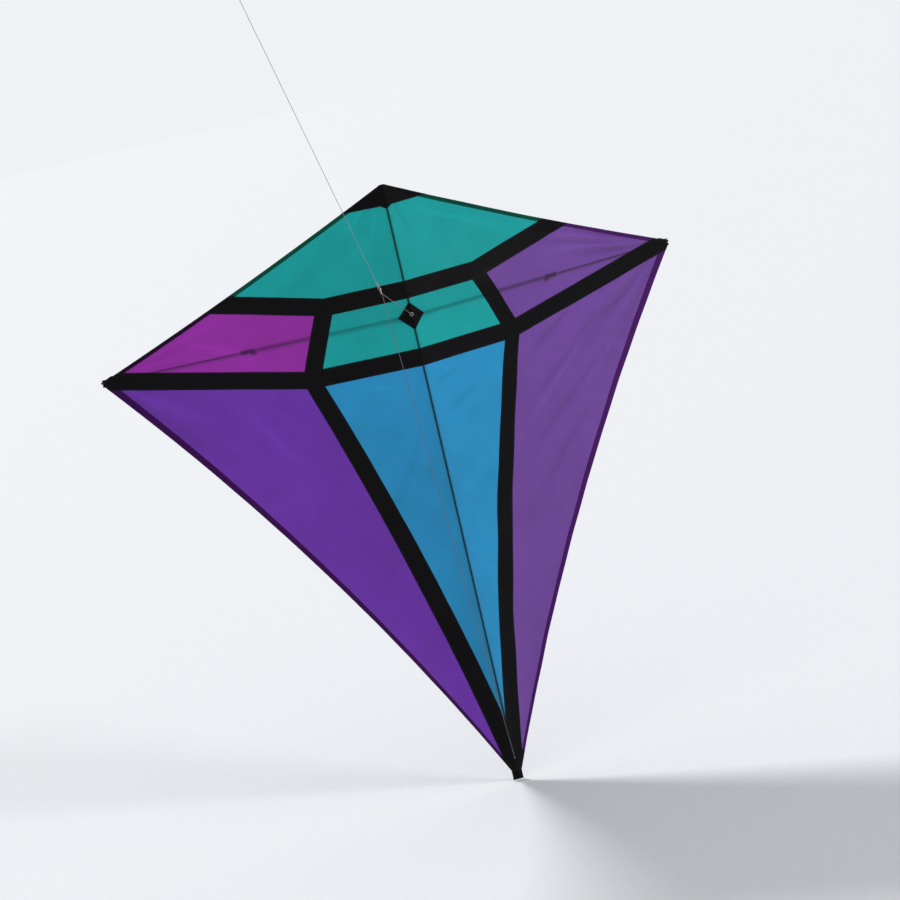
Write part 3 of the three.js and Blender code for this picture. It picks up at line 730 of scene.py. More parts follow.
class Seam:
    """a straight line on the flat cloth; shifted(d) lies d to its left, looking along it"""

    def __init__(self, start, end):
        self.start = np.array(start, float)
        self.end = np.array(end, float)

    def shifted(self, distance):
        along = (self.end - self.start) / np.linalg.norm(self.end - self.start)
        left = at(-along[1], along[0]) * distance
        return Seam(self.start + left, self.end + left)

    def meets(self, other):
        a, b = self.end - self.start, other.end - other.start
        return self.start + a * (cross(other.start - self.start, b) / cross(a, b))


def cross(a, b):
    return a[0] * b[1] - a[1] * b[0]


def straight(a, b):
    return lambda share: a + (b - a) * share


def bowed(a, b, hollow):
    """bows to the right of a-b by hollow in its middle"""
    along = (b - a) / np.linalg.norm(b - a)
    right = at(along[1], -along[0])
    return lambda share: a + (b - a) * share + right * (4 * hollow * share * (1 - share))


def bent(edge, end, corner):
    """follows one edge up to a corner, then a straight line from it"""
    def line(share):
        if share <= corner:
            return edge(share / corner)
        return edge(1) + (end - edge(1)) * ((share - corner) / (1 - corner))
    return line


def part(edge, start, end):
    return lambda share: edge(start + (end - start) * share)


def crossing(edge, seam):
    """share of a curved edge where a straight seam crosses it"""
    along = seam.end - seam.start

    def side(share):
        return cross(along, edge(share) - seam.start)
    low, high = 0.0, 1.0
    for _ in range(40):
        middle = (low + high) / 2
        if side(low) * side(middle) <= 0:
            high = middle
        else:
            low = middle
    return low


def crosses(edge, seam):
    return edge(crossing(edge, seam))


def meet(a, shift_a, b, shift_b):
    return a.shifted(shift_a).meets(b.shifted(shift_b))


def level(up):
    return Seam(at(0, up), at(1, up))


# ---------------------------------------------------------------- the filled sail, and its wrinkles
def half_width(up):
    above = HALF_SPAN + (NOSE_HALF_WIDTH - HALF_SPAN) * np.clip(up / CROSS_DROP, 0, 1)
    down = np.clip(up / TAIL_Z, 0, 1)
    below = HALF_SPAN + (TAIL_HALF_WIDTH - HALF_SPAN) * down - 4 * TRAILING_HOLLOW * down * (1 - down)
    return np.where(up >= 0, above, below)


def belly(across, up):
    outward = np.clip(across / half_width(up), 0, 1)
    along = np.clip(np.where(up >= 0, up / CROSS_DROP, up / TAIL_Z), 0, 1)
    depth = np.where(up >= 0, UPPER_BELLY, LOWER_BELLY)
    return 16 * depth * outward * (1 - outward) * along * (1 - along)


def smoothstep(value, start, end):
    share = np.clip((value - start) / (end - start), 0, 1)
    return share * share * (3 - 2 * share)


def fold(across, up, start, end, width, height):
    """a soft crease from start to end, widening along its length"""
    start, end = np.array(start), np.array(end)
    length = np.linalg.norm(end - start)
    along = ((across - start[0]) * (end[0] - start[0]) + (up - start[1]) * (end[1] - start[1])) / length ** 2
    beside = ((across - start[0]) * (end[1] - start[1]) - (up - start[1]) * (end[0] - start[0])) / length
    inside = np.clip(along, 0, 1)
    spread = width * (0.45 + 0.75 * inside)
    return height * np.sin(math.pi * inside ** 0.7) ** 2 * np.exp(-(beside / spread) ** 2)


def fan(centre, angles, lengths, width, height, by_turns=False):
    """creases running out of one point of the cloth, hollow and raised by turns if asked"""
    made = []
    for angle, length in zip(angles, lengths):
        turn = math.radians(angle + draw.uniform(-0.6, 0.6))
        end = at(centre[0] + length * math.cos(turn), centre[1] + length * math.sin(turn))
        made.append((centre, tuple(end), width * draw.uniform(0.8, 1.2), height * draw.uniform(0.75, 1.25)))
        height = -height if by_turns else height
    return made


# each crease: its start and end on the cloth, its width, and how far back it pushes the cloth
TIP = (HALF_SPAN - 0.02, 0.0)
NOSE = (0.01, CROSS_DROP - 0.01)
TAIL = (0.01, TAIL_Z + 0.03)
CREASES = {
    -1: [
        *fan(TIP, (160, 164, 168, 172), (0.34, 0.38, 0.36, 0.28), 0.012, -0.0018, True),
        *fan(TIP, (202, 214, 226), (0.36, 0.42, 0.46), 0.018, -0.0016, True),
        *fan(NOSE, (262, 290, 318), (0.16, 0.20, 0.18), 0.010, 0.0012),
        *fan(TAIL, (74, 84), (0.42, 0.50), 0.012, 0.0016),
        ((0.58, 0.06), (0.32, -0.05), 0.014, 0.0024),
        ((0.46, -0.13), (0.26, -0.46), 0.022, 0.0018),
        ((0.05, -0.18), (0.19, -0.14), 0.014, 0.0014),
        ((0.04, -0.30), (0.17, -0.50), 0.018, -0.0016),
    ],
    1: [
        *fan(TIP, (159.5, 162.5, 165.5, 168.5, 171.5), (0.40, 0.44, 0.46, 0.44, 0.36), 0.011, -0.0044, True),
        *fan(TIP, (197, 204, 211, 218, 225), (0.36, 0.44, 0.40, 0.48, 0.44), 0.012, -0.0018, True),
        *fan(NOSE, (258, 288), (0.18, 0.18), 0.010, -0.0012),
        *fan(TAIL, (76, 86), (0.46, 0.40), 0.012, 0.0014),
        ((0.09, 0.288), (0.42, 0.155), 0.009, -0.0024),
        ((0.06, 0.262), (0.37, 0.128), 0.010, 0.0018),
        ((0.48, -0.075), (0.28, -0.200), 0.011, -0.0028),
        ((0.67, -0.075), (0.39, -0.200), 0.011, -0.0024),
        ((0.62, -0.090), (0.29, -0.270), 0.010, 0.0020),
        ((0.53, -0.124), (0.22, -0.355), 0.013, -0.0030),
        ((0.64, -0.138), (0.41, -0.334), 0.012, 0.0022),
        ((0.50, -0.160), (0.20, -0.410), 0.009, 0.0022),
        ((0.55, -0.200), (0.19, -0.476), 0.014, -0.0028),
        ((0.48, -0.320), (0.19, -0.600), 0.014, -0.0020),
        ((0.01, -0.178), (0.15, -0.148), 0.012, -0.0018),
        ((0.02, -0.260), (0.20, -0.190), 0.014, -0.0016),
        ((0.01, -0.450), (0.13, -0.468), 0.006, 0.0010),
        ((0.01, -0.500), (0.12, -0.514), 0.006, 0.0010),
    ],
}
CREASE_SHADE = 42  # painted light and shade: a crease darkens or lightens the cloth's colour by this much a metre
CREASE_SHADE_LIMITS = (-0.24, 0.20)
WAVES = [
    (draw.uniform(0, math.pi), draw.uniform(0.10, 0.34), draw.uniform(0.0003, 0.0009), draw.uniform(0, 6.28))
    for _ in range(10)
]
FLUTTER = 0.0010
FLUTTER_LENGTHS = (0.16, 0.41)  # of its two beating waves
FLUTTER_DEPTH = 0.045  # the trailing edge's flutter dies out this far in
HEM_STIFFNESS = 0.06  # wrinkles fade over this much cloth next to the trailing edge
SPINE_HOLD = 0.05  # over this much next to the spine
SPREADER_HOLD = 0.022  # and over this much each side of the spreader


def creases(side, across, up):
    """how far back the creases alone push the cloth"""
    total = np.zeros_like(across)
    for start, end, width, height in CREASES[side]:
        total += fold(across, up, start, end, width, height)
    return total


def wrinkle(side, across, up):
    """how far back the cloth stands from its smooth shape"""
    total = creases(side, across, up)
    for angle, length, height, phase in WAVES:
        run = across * math.cos(angle) * side + up * math.sin(angle)
        total += height * np.sin(2 * math.pi * run / length + phase)
    inward = np.where(up < 0, half_width(up) - across, 1.0)
    total *= 0.25 + 0.75 * smoothstep(inward, 0.0, HEM_STIFFNESS)
    short_wave, long_wave = [2 * math.pi * up / length for length in FLUTTER_LENGTHS]
    total += FLUTTER * np.exp(-inward / FLUTTER_DEPTH) * np.sin(short_wave + side) * np.sin(long_wave)
    free = smoothstep(across, 0.0, SPINE_HOLD) * (1 - 0.85 * np.exp(-(up / SPREADER_HOLD) ** 2))
    near_tip = 1 - smoothstep(across, HALF_SPAN - 0.09, HALF_SPAN - 0.03)
    return total * free * (0.25 + 0.75 * near_tip)


def in_wing(side, across, up):
    """points of the sail in their wing's own frame: out along the wing, back, up"""
    return np.stack([across, belly(across, up) + wrinkle(side, across, up), up], -1)


def to_world(side, points):
    out, back, up = points[..., 0], points[..., 1], points[..., 2]
    cosine, sine = math.cos(DIHEDRAL), math.sin(DIHEDRAL)
    return np.stack([side * (out * cosine - back * sine), FOLD_Y + out * sine + back * cosine, up], -1)


def on_sail(side, flat, lift=0.0):
    """points of the sail in the row frame, lifted off it; a negative lift is towards the wind"""
    across, up = flat[..., 0], flat[..., 1]
    step = 0.0005
    out = in_wing(side, across + step, up) - in_wing(side, across - step, up)
    rise = in_wing(side, across, up + step) - in_wing(side, across, up - step)
    back = np.cross(rise, out)
    back /= np.linalg.norm(back, axis=-1, keepdims=True)
    lifted = in_wing(side, across, up) + back * np.asarray(lift)[..., None]
    return to_world(side, lifted)


# ---------------------------------------------------------------- cloth pieces
def flat_grid(shape):
    """points of a piece between its four edges: first and last run outward, inner and outer run down"""
    def count(edges, multiple):
        lengths = []
        for edge in edges:
            points = np.array([shape[edge](share) for share in np.linspace(0, 1, 41)])
            lengths.append(np.linalg.norm(np.diff(points, axis=0), axis=1).sum())
        return max(1, math.ceil(max(lengths) / CELL / multiple)) * multiple

    s = np.linspace(0, 1, count(("first", "last"), shape["columns"]) + 1)
    t = np.linspace(0, 1, count(("inner", "outer"), shape["rows"]) + 1)
    first, last = [np.array([shape[edge](share) for share in s])[None] for edge in ("first", "last")]
    inner, outer = [np.array([shape[edge](share) for share in t])[:, None] for edge in ("inner", "outer")]
    s, t = s[None, :, None], t[:, None, None]
    top, low = [(1 - s) * edge[:, :1] + s * edge[:, -1:] for edge in (first, last)]
    return (1 - t) * first + t * last + (1 - s) * inner + s * outer - ((1 - t) * top + t * low)


def slab(front, back, turned):
    """a closed skin: two like grids of points, and the rim between them"""
    count = front.shape[0] * front.shape[1]
    index = np.arange(count).reshape(front.shape[:2])
    a, b, c, d = index[:-1, :-1], index[:-1, 1:], index[1:, 1:], index[1:, :-1]
    near = np.stack([a, d, c, b], -1).reshape(-1, 4)
    far = np.stack([a, b, c, d], -1).reshape(-1, 4) + count
    rim = np.concatenate([index[0, :-1], index[:-1, -1], index[-1, :0:-1], index[:0:-1, 0]])
    after = np.roll(rim, -1)
    faces = np.concatenate([near, far, np.stack([rim, after, after + count, rim + count], -1)])
    return np.concatenate([front.reshape(-1, 3), back.reshape(-1, 3)]), faces[:, ::-1] if turned else faces


def store(obj, name, kind, key, values):
    """keeps values with the points of a cloth piece, front and back alike"""
    attribute = obj.data.attributes.new(name, kind, "POINT")
    attribute.data.foreach_set(key, np.tile(values.astype(np.float32).ravel(), 2))


def mark(obj, grid):
    """stores each point's place on the flat cloth, for its weave"""
    store(obj, "flat", "FLOAT_VECTOR", "vector", np.pad(grid, ((0, 0), (0, 0), (0, 1))))


def flat_size(grid):
    """(width, length) of the piece as it was cut, and its area"""
    points = grid.reshape(-1, 2)
    _, _, axes = np.linalg.svd(points - points.mean(0), full_matrices=False)
    extent = np.ptp(points @ axes.T, axis=0)
    outline = np.concatenate([grid[0], grid[1:, -1], grid[-1, -2::-1], grid[-2:0:-1, 0]])
    following = np.roll(outline, -1, axis=0)
    area = abs(np.sum(outline[:, 0] * following[:, 1] - outline[:, 1] * following[:, 0])) / 2
    width, length = sorted(float(x) for x in extent)
    if area < width * length / 2:  # a long bowed strip, which was cut straight
        middle = grid.mean(axis=1)
        length = float(np.linalg.norm(np.diff(middle, axis=0), axis=1).sum())
        width = float(np.linalg.norm(grid[:, -1] - grid[:, 0], axis=1).max())
    return (width, length), min(float(area), width * length)


SIDES = {"left": -1, "right": 1}


def add_cloth(name, side_name, shape, material, lift=0.0, thickness=LAYER, puff=0.0):
    """one sewn piece of a wing, in place of its CAD node; puff rounds its long edges"""
    side = SIDES[side_name]
    grid = flat_grid(shape)
    across = np.abs(np.linspace(-1, 1, grid.shape[1]))[None] * np.ones(grid.shape[:2])
    half = thickness / 2 * np.sqrt(np.clip(1 - puff * across ** 4, 0.05, 1))
    skin = slab(on_sail(side, grid, lift - half), on_sail(side, grid, lift + half), side < 0)
    node = f"{name}_{side_name}"
    obj = piece(f"sewn_{node}", *skin, material, f"wing_{side_name}", [node])
    mark(obj, grid)
    # painted light and shade along the creases, kept with the points as the crease attribute
    crease_shades = CREASE_SHADE * creases(side, grid[..., 0], grid[..., 1])
    store(obj, "crease", "FLOAT", "value", np.clip(crease_shades, *CREASE_SHADE_LIMITS))
    size, area = flat_size(grid)
    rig.sheet(obj, flat=size, held="stretched", area=area, rests_on=["spine_rod", f"outer_rod_{side_name}"])
    return obj, grid


# ---------------------------------------------------------------- the cutting pattern of one wing
UNDER = HALF_BAND - TUCK  # a panel's edge, from the middle of the band sewn over it


def on_spine(up):
    return at(0, up)


corner = at(HALF_SPAN, 0)
tail = at(TAIL_HALF_WIDTH, TAIL_Z)
tail_split = at(TAIL_HALF_WIDTH / 2, TAIL_Z)
tip_end = Seam(at(HALF_SPAN - TIP_CUT, -1), at(HALF_SPAN - TIP_CUT, 1))
slope = Seam(at(NOSE_HALF_WIDTH, CROSS_DROP), corner)
fall = Seam(corner, tail)
leading = bowed(slope.start, slope.end, LEADING_HOLLOW)
trailing = bowed(fall.start, fall.end, TRAILING_HOLLOW)


def beside_leading(depth):
    """a line on the cloth this far in from the leading edge"""
    shifted = slope.shifted(-depth)
    return bowed(shifted.start, shifted.end, LEADING_HOLLOW)


def beside_trailing(depth):
    """a line from this far in from the trailing edge at the tip, closing on the hem's end at the tail"""
    end = tail_split + at((TRAILING_HEM - depth) / 2, 0)
    return bowed(fall.shifted(-depth).start, end, TRAILING_HOLLOW)


leading_inner = beside_leading(LEADING_HEM)
under_leading = beside_leading(LEADING_HEM - TUCK)
trailing_inner = beside_trailing(TRAILING_HEM)
under_trailing = beside_trailing(TRAILING_HEM - TUCK)

brow = Seam(at(0, BROW_CORNER[1]), BROW_CORNER)
shoulder = Seam(BROW_CORNER, leading(SHOULDER_AT))
waist = Seam(at(0, WAIST_CORNER[1]), WAIST_CORNER)
wing = Seam(WAIST_CORNER, at(HALF_SPAN, TIP_RISE))
short = Seam(BROW_CORNER, WAIST_CORNER)
long = Seam(WAIST_CORNER, at(TAIL_HALF_WIDTH / 3, TAIL_Z))

nose_side = leading(NOSE_PATCH_SIDE / np.linalg.norm(slope.end - slope.start))
nose_line = Seam(on_spine(CROSS_DROP - NOSE_PATCH_DROP), nose_side)
under_nose = nose_line.shifted(TUCK)
bands_close = on_spine(TAIL_Z + BANDS_CLOSE_AT)
panel_close = crosses(trailing_inner, level(TAIL_Z + PANEL_CLOSE_AT))


def cut(first, last, inner, outer, columns=1, rows=1):
    return {"first": first, "last": last, "inner": inner, "outer": outer, "columns": columns, "rows": rows}


def quad(top_in, top_out, low_in, low_out):
    return cut(straight(top_in, top_out), straight(low_in, low_out),
               straight(top_in, low_in), straight(top_out, low_out))


def top_panel():
    start = crossing(under_leading, under_nose)
    end = crossing(under_leading, shoulder.shifted(UNDER))
    low = on_spine(brow.start[1] + UNDER)
    return cut(straight(under_nose.start, under_leading(start)),
               bent(straight(low, meet(brow, UNDER, shoulder, UNDER)), under_leading(end), 0.5),
               straight(under_nose.start, low), part(under_leading, start, end), 2)


def middle_panel():
    return quad(on_spine(brow.start[1] - UNDER), meet(brow, -UNDER, short, -UNDER),
                on_spine(waist.start[1] + UNDER), meet(waist, UNDER, short, -UNDER))


def shoulder_panel():
    start = crossing(under_leading, shoulder.shifted(-UNDER))
    end = crossing(under_leading, wing.shifted(UNDER))
    top, low = meet(shoulder, -UNDER, short, UNDER), meet(wing, UNDER, short, UNDER)
    return cut(straight(top, under_leading(start)), straight(low, under_leading(end)),
               straight(top, low), part(under_leading, start, end))


def lower_panel():
    top_in, top_out = on_spine(waist.start[1] - UNDER), meet(waist, -UNDER, long, -UNDER)
    point_out = bands_close + at(TUCK, 0)
    return cut(straight(top_in, top_out), straight(bands_close, point_out),
               straight(top_in, bands_close), bowed(top_out, point_out, LONG_BAND_HOLLOW))


def wing_panel():
    top = meet(wing, -UNDER, long, UNDER)
    start = crossing(under_trailing, wing.shifted(-UNDER))
    end = crossing(under_trailing, level(panel_close[1]))
    point = under_trailing(end)
    point_in = point - at(2 * TUCK, 0)
    return cut(straight(top, under_trailing(start)), straight(point_in, point),
               bowed(top, point_in, LONG_BAND_HOLLOW), part(under_trailing, start, end))


def nose_patch():
    """a triangle with a short tongue on the spine, over the mouth of the nose pocket"""
    low = straight(nose_line.start, nose_line.end)

    def edge(share):
        point = low(share)
        return point - at(0, NOSE_TONGUE * (1 - smoothstep(point[0], 0.006, 0.013)))
    return cut(straight(on_spine(CROSS_DROP), slope.start), edge,
               straight(on_spine(CROSS_DROP), edge(0)), part(leading, 0, crossing(leading, nose_line)))


def spine_band(seam, onward):
    """a band from the spine to the corner where it turns onward"""
    return quad(on_spine(seam.start[1] + HALF_BAND), meet(seam, HALF_BAND, onward, HALF_BAND),
                on_spine(seam.start[1] - HALF_BAND), meet(seam, -HALF_BAND, onward, -HALF_BAND))


def brow_band():
    return spine_band(brow, shoulder)


def waist_band():
    return spine_band(waist, wing)


def shoulder_band():
    top, low = [(meet(brow, shift, shoulder, shift), crosses(under_leading, shoulder.shifted(shift)))
                for shift in (HALF_BAND, -HALF_BAND)]
    return quad(*top, *low)


def wing_band():
    top, low = [meet(waist, shift, wing, shift) for shift in (HALF_BAND, -HALF_BAND)]
    bends = crosses(leading, wing.shifted(HALF_BAND)), crosses(trailing, wing.shifted(-HALF_BAND))
    tip_top, tip_low = crosses(leading, tip_end), crosses(trailing, tip_end)
    return cut(bent(straight(top, bends[0]), tip_top, 0.9), bent(straight(low, bends[1]), tip_low, 0.9),
               straight(top, low), straight(tip_top, tip_low), 10)


def short_band():
    top_in, top_out = meet(brow, -UNDER, short, -HALF_BAND), meet(shoulder, -UNDER, short, HALF_BAND)
    low_in, low_out = meet(waist, UNDER, short, -HALF_BAND), meet(wing, UNDER, short, HALF_BAND)
    return cut(bent(straight(top_in, meet(brow, -UNDER, shoulder, -UNDER)), top_out, 0.5),
               bent(straight(low_in, meet(waist, UNDER, wing, UNDER)), low_out, 0.5),
               straight(top_in, low_in), straight(top_out, low_out), 2)


def long_band():
    top_in, top_out = meet(waist, -UNDER, long, -HALF_BAND), meet(wing, -UNDER, long, HALF_BAND)
    end_in, end_out = on_spine(TAIL_Z), under_trailing(1)
    inner, outer = bowed(top_in, bands_close, LONG_BAND_HOLLOW), bowed(top_out, panel_close, LONG_BAND_HOLLOW)
    return cut(bent(straight(top_in, meet(waist, -UNDER, wing, -UNDER)), top_out, 0.5),
               straight(end_in, end_out), bent(inner, end_in, (LONG_ROWS - 2) / LONG_ROWS),
               bent(outer, end_out, (LONG_ROWS - 1) / LONG_ROWS), 2, LONG_ROWS)


def leading_hem():
    inner, outer = [[crossing(edge, seam) for seam in (under_nose, wing.shifted(UNDER))]
                    for edge in (leading_inner, leading)]
    first, last = [straight(leading_inner(a), leading(b)) for a, b in zip(inner, outer)]
    return cut(first, last, part(leading_inner, *inner), part(leading, *outer), 4)


def trailing_hem():
    inner, outer = [crossing(edge, wing.shifted(-UNDER)) for edge in (trailing_inner, trailing)]
    return cut(straight(trailing_inner(inner), trailing(outer)), straight(tail_split, tail),
               part(trailing_inner, inner, 1), part(trailing, outer, 1), 4)


def centre_patch():
    """half of the square patch over the cross"""
    top, low, out = on_spine(CENTRE_PATCH), on_spine(-CENTRE_PATCH), at(CENTRE_PATCH, 0)
    sliver = at(CELL / 8, 0)
    return cut(straight(top, top + sliver), straight(low, low + sliver), straight(top, low),
               bent(straight(top + sliver, out + sliver), low + sliver, 0.5), 4, 2)


# ---------------------------------------------------------------- stitches
def stitch_row(path, faces):
    """little threads end to end along a flat path, on each face of the cloth"""
    points = np.array(path)
    run = np.concatenate([[0], np.cumsum(np.linalg.norm(np.diff(points, axis=0), axis=1))])
    count = int(run[-1] / STITCH_PITCH)
    if count < 1:
        return [], []
    starts = (np.arange(count) + 0.5) * run[-1] / count - STITCH_LENGTH / 2
    ends = [np.stack([np.interp(starts + shift, run, points[:, k]) for k in (0, 1)], -1)
            for shift in (0, STITCH_LENGTH)]
    return merged(*(threads(face(ends[0]), face(ends[1])) for face in faces))


def threads(start, end):
    """many short threads, each thick in its middle and pointed at both ends"""
    middle = (start + end) / 2
    along = (end - start) / np.linalg.norm(end - start, axis=1, keepdims=True)
    one = np.cross(along, (0.0, 0.0, 1.0))
    flat = np.linalg.norm(one, axis=1) < 0.1
    one[flat] = np.cross(along[flat], (1.0, 0.0, 0.0))
    one /= np.linalg.norm(one, axis=1, keepdims=True)
    two = np.cross(along, one)
    around = [middle + one * THREAD_RADIUS, middle + two * THREAD_RADIUS,
              middle - one * THREAD_RADIUS, middle - two * THREAD_RADIUS]
    vertices = np.stack([start, *around, end], 1).reshape(-1, 3)
    pattern = [(0, 2, 1), (0, 3, 2), (0, 4, 3), (0, 1, 4), (5, 1, 2), (5, 2, 3), (5, 3, 4), (5, 4, 1)]
    faces = (np.arange(len(start))[:, None, None] * 6 + np.array(pattern)[None]).reshape(-1, 3)
    return list(vertices), [tuple(f) for f in faces]


def row_inside(grid, edge, inset):
    """a path that runs along one edge of a piece, a little inside it"""
    sides = {"first": grid[0], "last": grid[-1], "inner": grid[:, 0], "outer": grid[:, -1]}
    opposite = {"first": "last", "last": "first", "inner": "outer", "outer": "inner"}
    near = sides[edge]
    across = sides[opposite[edge]] - near
    width = np.linalg.norm(across, axis=1, keepdims=True)
    along = np.gradient(near, axis=0)
    along /= np.linalg.norm(along, axis=1, keepdims=True) + 1e-12
    normal = np.stack([-along[:, 1], along[:, 0]], 1)
    sign = np.sign((normal * across).sum(1, keepdims=True))
    return (near + normal * sign * inset)[width[:, 0] > 2 * inset]


# ---------------------------------------------------------------- one wing of cloth
BACK_BAND = -1.5 * LAYER  # short and long bands lie over the panels
FRONT_BAND = -3 * LAYER  # and the others over them
PATCH = -4.5 * LAYER

# the right wing's shoulder and wing panels are violet with painted light, paler than the left's
PANELS = {
    top_panel: (TEAL, TEAL),
    middle_panel: (TEAL, TEAL),
    lower_panel: (BLUE, BLUE),
    shoulder_panel: (MAGENTA, VIOLET_PAINTED_LIT),
    wing_panel: (VIOLET, VIOLET_PAINTED_LIT),
}
BANDS = {
    short_band: (BACK_BAND, ("inner", "outer")),
    long_band: (BACK_BAND, ("inner", "outer")),
    brow_band: (FRONT_BAND, ("first", "last")),
    shoulder_band: (FRONT_BAND, ("first", "last")),
    waist_band: (FRONT_BAND, ("first", "last")),
    wing_band: (FRONT_BAND, ("first", "last", "outer")),
    nose_patch: (PATCH, ("last", "outer")),
}
CENTRE_PATCH_LIFT = -0.0013


def colour_hem(obj, grid, materials, share_limits):
    """gives each stretch of a hem the cloth of the panel beside it"""
    for material in materials[1:]:
        obj.data.materials.append(material)
    rows, columns = grid.shape[0] - 1, grid.shape[1] - 1
    index = np.searchsorted(share_limits, (np.arange(rows) + 0.5) / rows)
    by_cell = np.repeat(index, columns)
    rim = np.concatenate([np.full(columns, index[0]), index, np.full(columns, index[-1]), index[::-1]])
    obj.data.polygons.foreach_set("material_index", np.concatenate([by_cell, by_cell, rim]).astype(np.int32))


def add_wing_cloth(side_name):
    side = SIDES[side_name]
    proud = THREAD_RADIUS * 0.6
    threaded = []

    def sew(grid, edge, front, back, inset=STITCH_INSET):
        """a row of stitches inside an edge, through all the cloth from one height to the other"""
        faces = [lambda flat, lift=lift: on_sail(side, flat, lift) for lift in (front - proud, back + proud)]
        path = row_inside(grid, edge, inset)
        if len(path) > 2:
            threaded.append(stitch_row(path, faces))

    for panel, cloths in PANELS.items():
        add_cloth(panel.__name__, side_name, panel(), cloths[side > 0])
    for band, (lift, edges) in BANDS.items():
        material = BLACK_PATCH if band is nose_patch else BLACK
        _, grid = add_cloth(band.__name__, side_name, band(), material, lift)
        for edge in edges:
            sew(grid, edge, lift - LAYER / 2, LAYER / 2)

    start, end = crossing(leading, under_nose), crossing(leading, wing.shifted(UNDER))
    band_ends = [crossing(leading, shoulder.shifted(shift)) for shift in (HALF_BAND, -HALF_BAND)]
    limits = [(share - start) / (end - start) for share in band_ends]
    tail_black = crossing(trailing_inner, level(panel_close[1]))
    # the right wing's hems are violet with painted light
    shoulder_hem, wing_hem = (VIOLET_HEM_PAINTED_LIT, VIOLET_HEM_PAINTED_LIT) if side > 0 else (MAGENTA_HEM, VIOLET_HEM)
    for shape, materials, ends in (
        (leading_hem, [TEAL_HEM, BLACK, shoulder_hem], limits),
        (trailing_hem, [wing_hem, BLACK], [tail_black]),
    ):
        hem, grid = add_cloth(shape.__name__, side_name, shape(), materials[0], 0.0, HEM_THICKNESS, puff=0.9)
        colour_hem(hem, grid, materials, ends)
        sew(grid, "inner", -HEM_THICKNESS / 2, HEM_THICKNESS / 2, STITCH_INSET * 0.7)

    _, grid = add_cloth("centre_patch", side_name, centre_patch(), BLACK_PATCH, CENTRE_PATCH_LIFT)
    sew(grid, "outer", CENTRE_PATCH_LIFT - LAYER / 2, -LAYER / 2)
    piece(f"stitching_{side_name}", *merged(*threaded), THREAD, f"wing_{side_name}")


# ---------------------------------------------------------------- rods, cross and ferrules
SPREADER_LIFT = (SPINE_Y - FOLD_Y) * math.cos(DIHEDRAL)  # the spreader's axis, behind the cloth
SPREADER_ROOT = (SPINE_Y - FOLD_Y) * math.sin(DIHEDRAL)
CHAMFER = 0.0004
RING_HALF_WIDTH = 0.0012  # rings round the sockets and ferrules
LIP_LENGTH = 0.0036
LIP_SLOPE = 0.0008


def on_spreader(side, out):
    return Vector(to_world(side, np.array((out, SPREADER_LIFT, 0.0))))


def rod(start, end, radius):
    """a solid rod with chamfered ends"""
    lower = [(0, 0), (radius - CHAMFER, 0), (radius, CHAMFER)]
    return lathe(both_ends(lower, (end - start).length), start, end - start, 32)


def sleeve(start, end, outer, bore, rings, ring_height, lip=0.0):
    """a tube with rounded ends, a lip at its mouth and raised or sunken rings round it"""
    length = (end - start).length
    profile = [(outer - CHAMFER, 0), (outer, CHAMFER)]
    for place in rings:
        for shift, rise in ((-1, 0), (-0.5, ring_height), (0.5, ring_height), (1, 0)):
            profile.append((outer + rise, place * length + shift * RING_HALF_WIDTH))
    if lip:
        profile += [(outer, length - LIP_LENGTH), (outer + lip, length - LIP_LENGTH + LIP_SLOPE)]
    profile += [(outer + lip, length - CHAMFER), (outer + lip - CHAMFER, length)]
    inside = both_ends([(bore + CHAMFER / 2, 0), (bore, CHAMFER)], length)
    return lathe(profile + inside[::-1], start, end - start, 36, closed=True)


def end_cap(mouth, end, outer, bore, wall):
    """a moulded cap over a rod's end: a rounded nose, a rolled rim at its mouth"""
    length = (end - mouth).length
    rim = 0.0004
    nose = [(outer * math.cos(turn), length - outer * 0.55 * (1 - math.sin(turn)))
            for turn in np.linspace(0.15, math.pi / 2, 6)]
    nose[-1] = (0.0, length)
    profile = [(0, length - wall), (bore, length - wall), (bore, 0), (outer, 0), (outer + rim, rim),
               (outer + rim, 3 * rim), (outer, 4 * rim), *nose]
    return lathe(profile, mouth, end - mouth, 32)


def box(low, high):
    """a block between two corners"""
    corners = [(x, y, z) for x in (low[0], high[0]) for y in (low[1], high[1]) for z in (low[2], high[2])]
    return corners, [(0, 1, 3, 2), (4, 6, 7, 5), (0, 4, 5, 1), (2, 3, 7, 6), (0, 2, 6, 4), (1, 5, 7, 3)]


def worked(obj, kind, **settings):
    """applies one modifier to a mesh"""
    modifier = obj.modifiers.new(kind, kind)
    for key, value in settings.items():
        setattr(modifier, key, value)
    shown = obj.evaluated_get(bpy.context.evaluated_depsgraph_get())
    mesh = bpy.data.meshes.new_from_object(shown)
    obj.modifiers.clear()
    obj.data = mesh


def add_hub():
    """the moulded cross: a barrel round the spine with two collars, and a flat rib behind it"""
    def turned(name, half, length):
        start = Vector((0, SPINE_Y, -length / 2))
        return new_object(name, *lathe(both_ends(half, length), start, (0, 0, 1), 40))

    collar = HUB_RADIUS + 0.0005
    bore = SPINE_RADIUS + FIT
    hub = turned("moulded_cross", [
        (0, 0), (HUB_RADIUS - CHAMFER, 0), (HUB_RADIUS, CHAMFER), (HUB_RADIUS, 0.0032),
        (collar, 0.0038), (collar, 0.0056), (HUB_RADIUS, 0.0062),
    ], HUB_HEIGHT)
    rib = new_object("hub_rib", *box(
        (-RIB_WIDTH / 2, SPINE_Y, -RIB_HEIGHT / 2),
        (RIB_WIDTH / 2, 0, RIB_HEIGHT / 2),
    ))
    worked(rib, "BEVEL", width=0.0009, segments=3)
    hole = turned("hub_bore", [(0, 0), (bore, 0)], 2 * RIB_HEIGHT)
    for operation, other in (("UNION", rib), ("DIFFERENCE", hole)):
        worked(hub, "BOOLEAN", operation=operation, object=other, solver="EXACT")
        bpy.data.objects.remove(other)
    finished(hub, RUBBER, "frame", ["cross_hub"], 35)


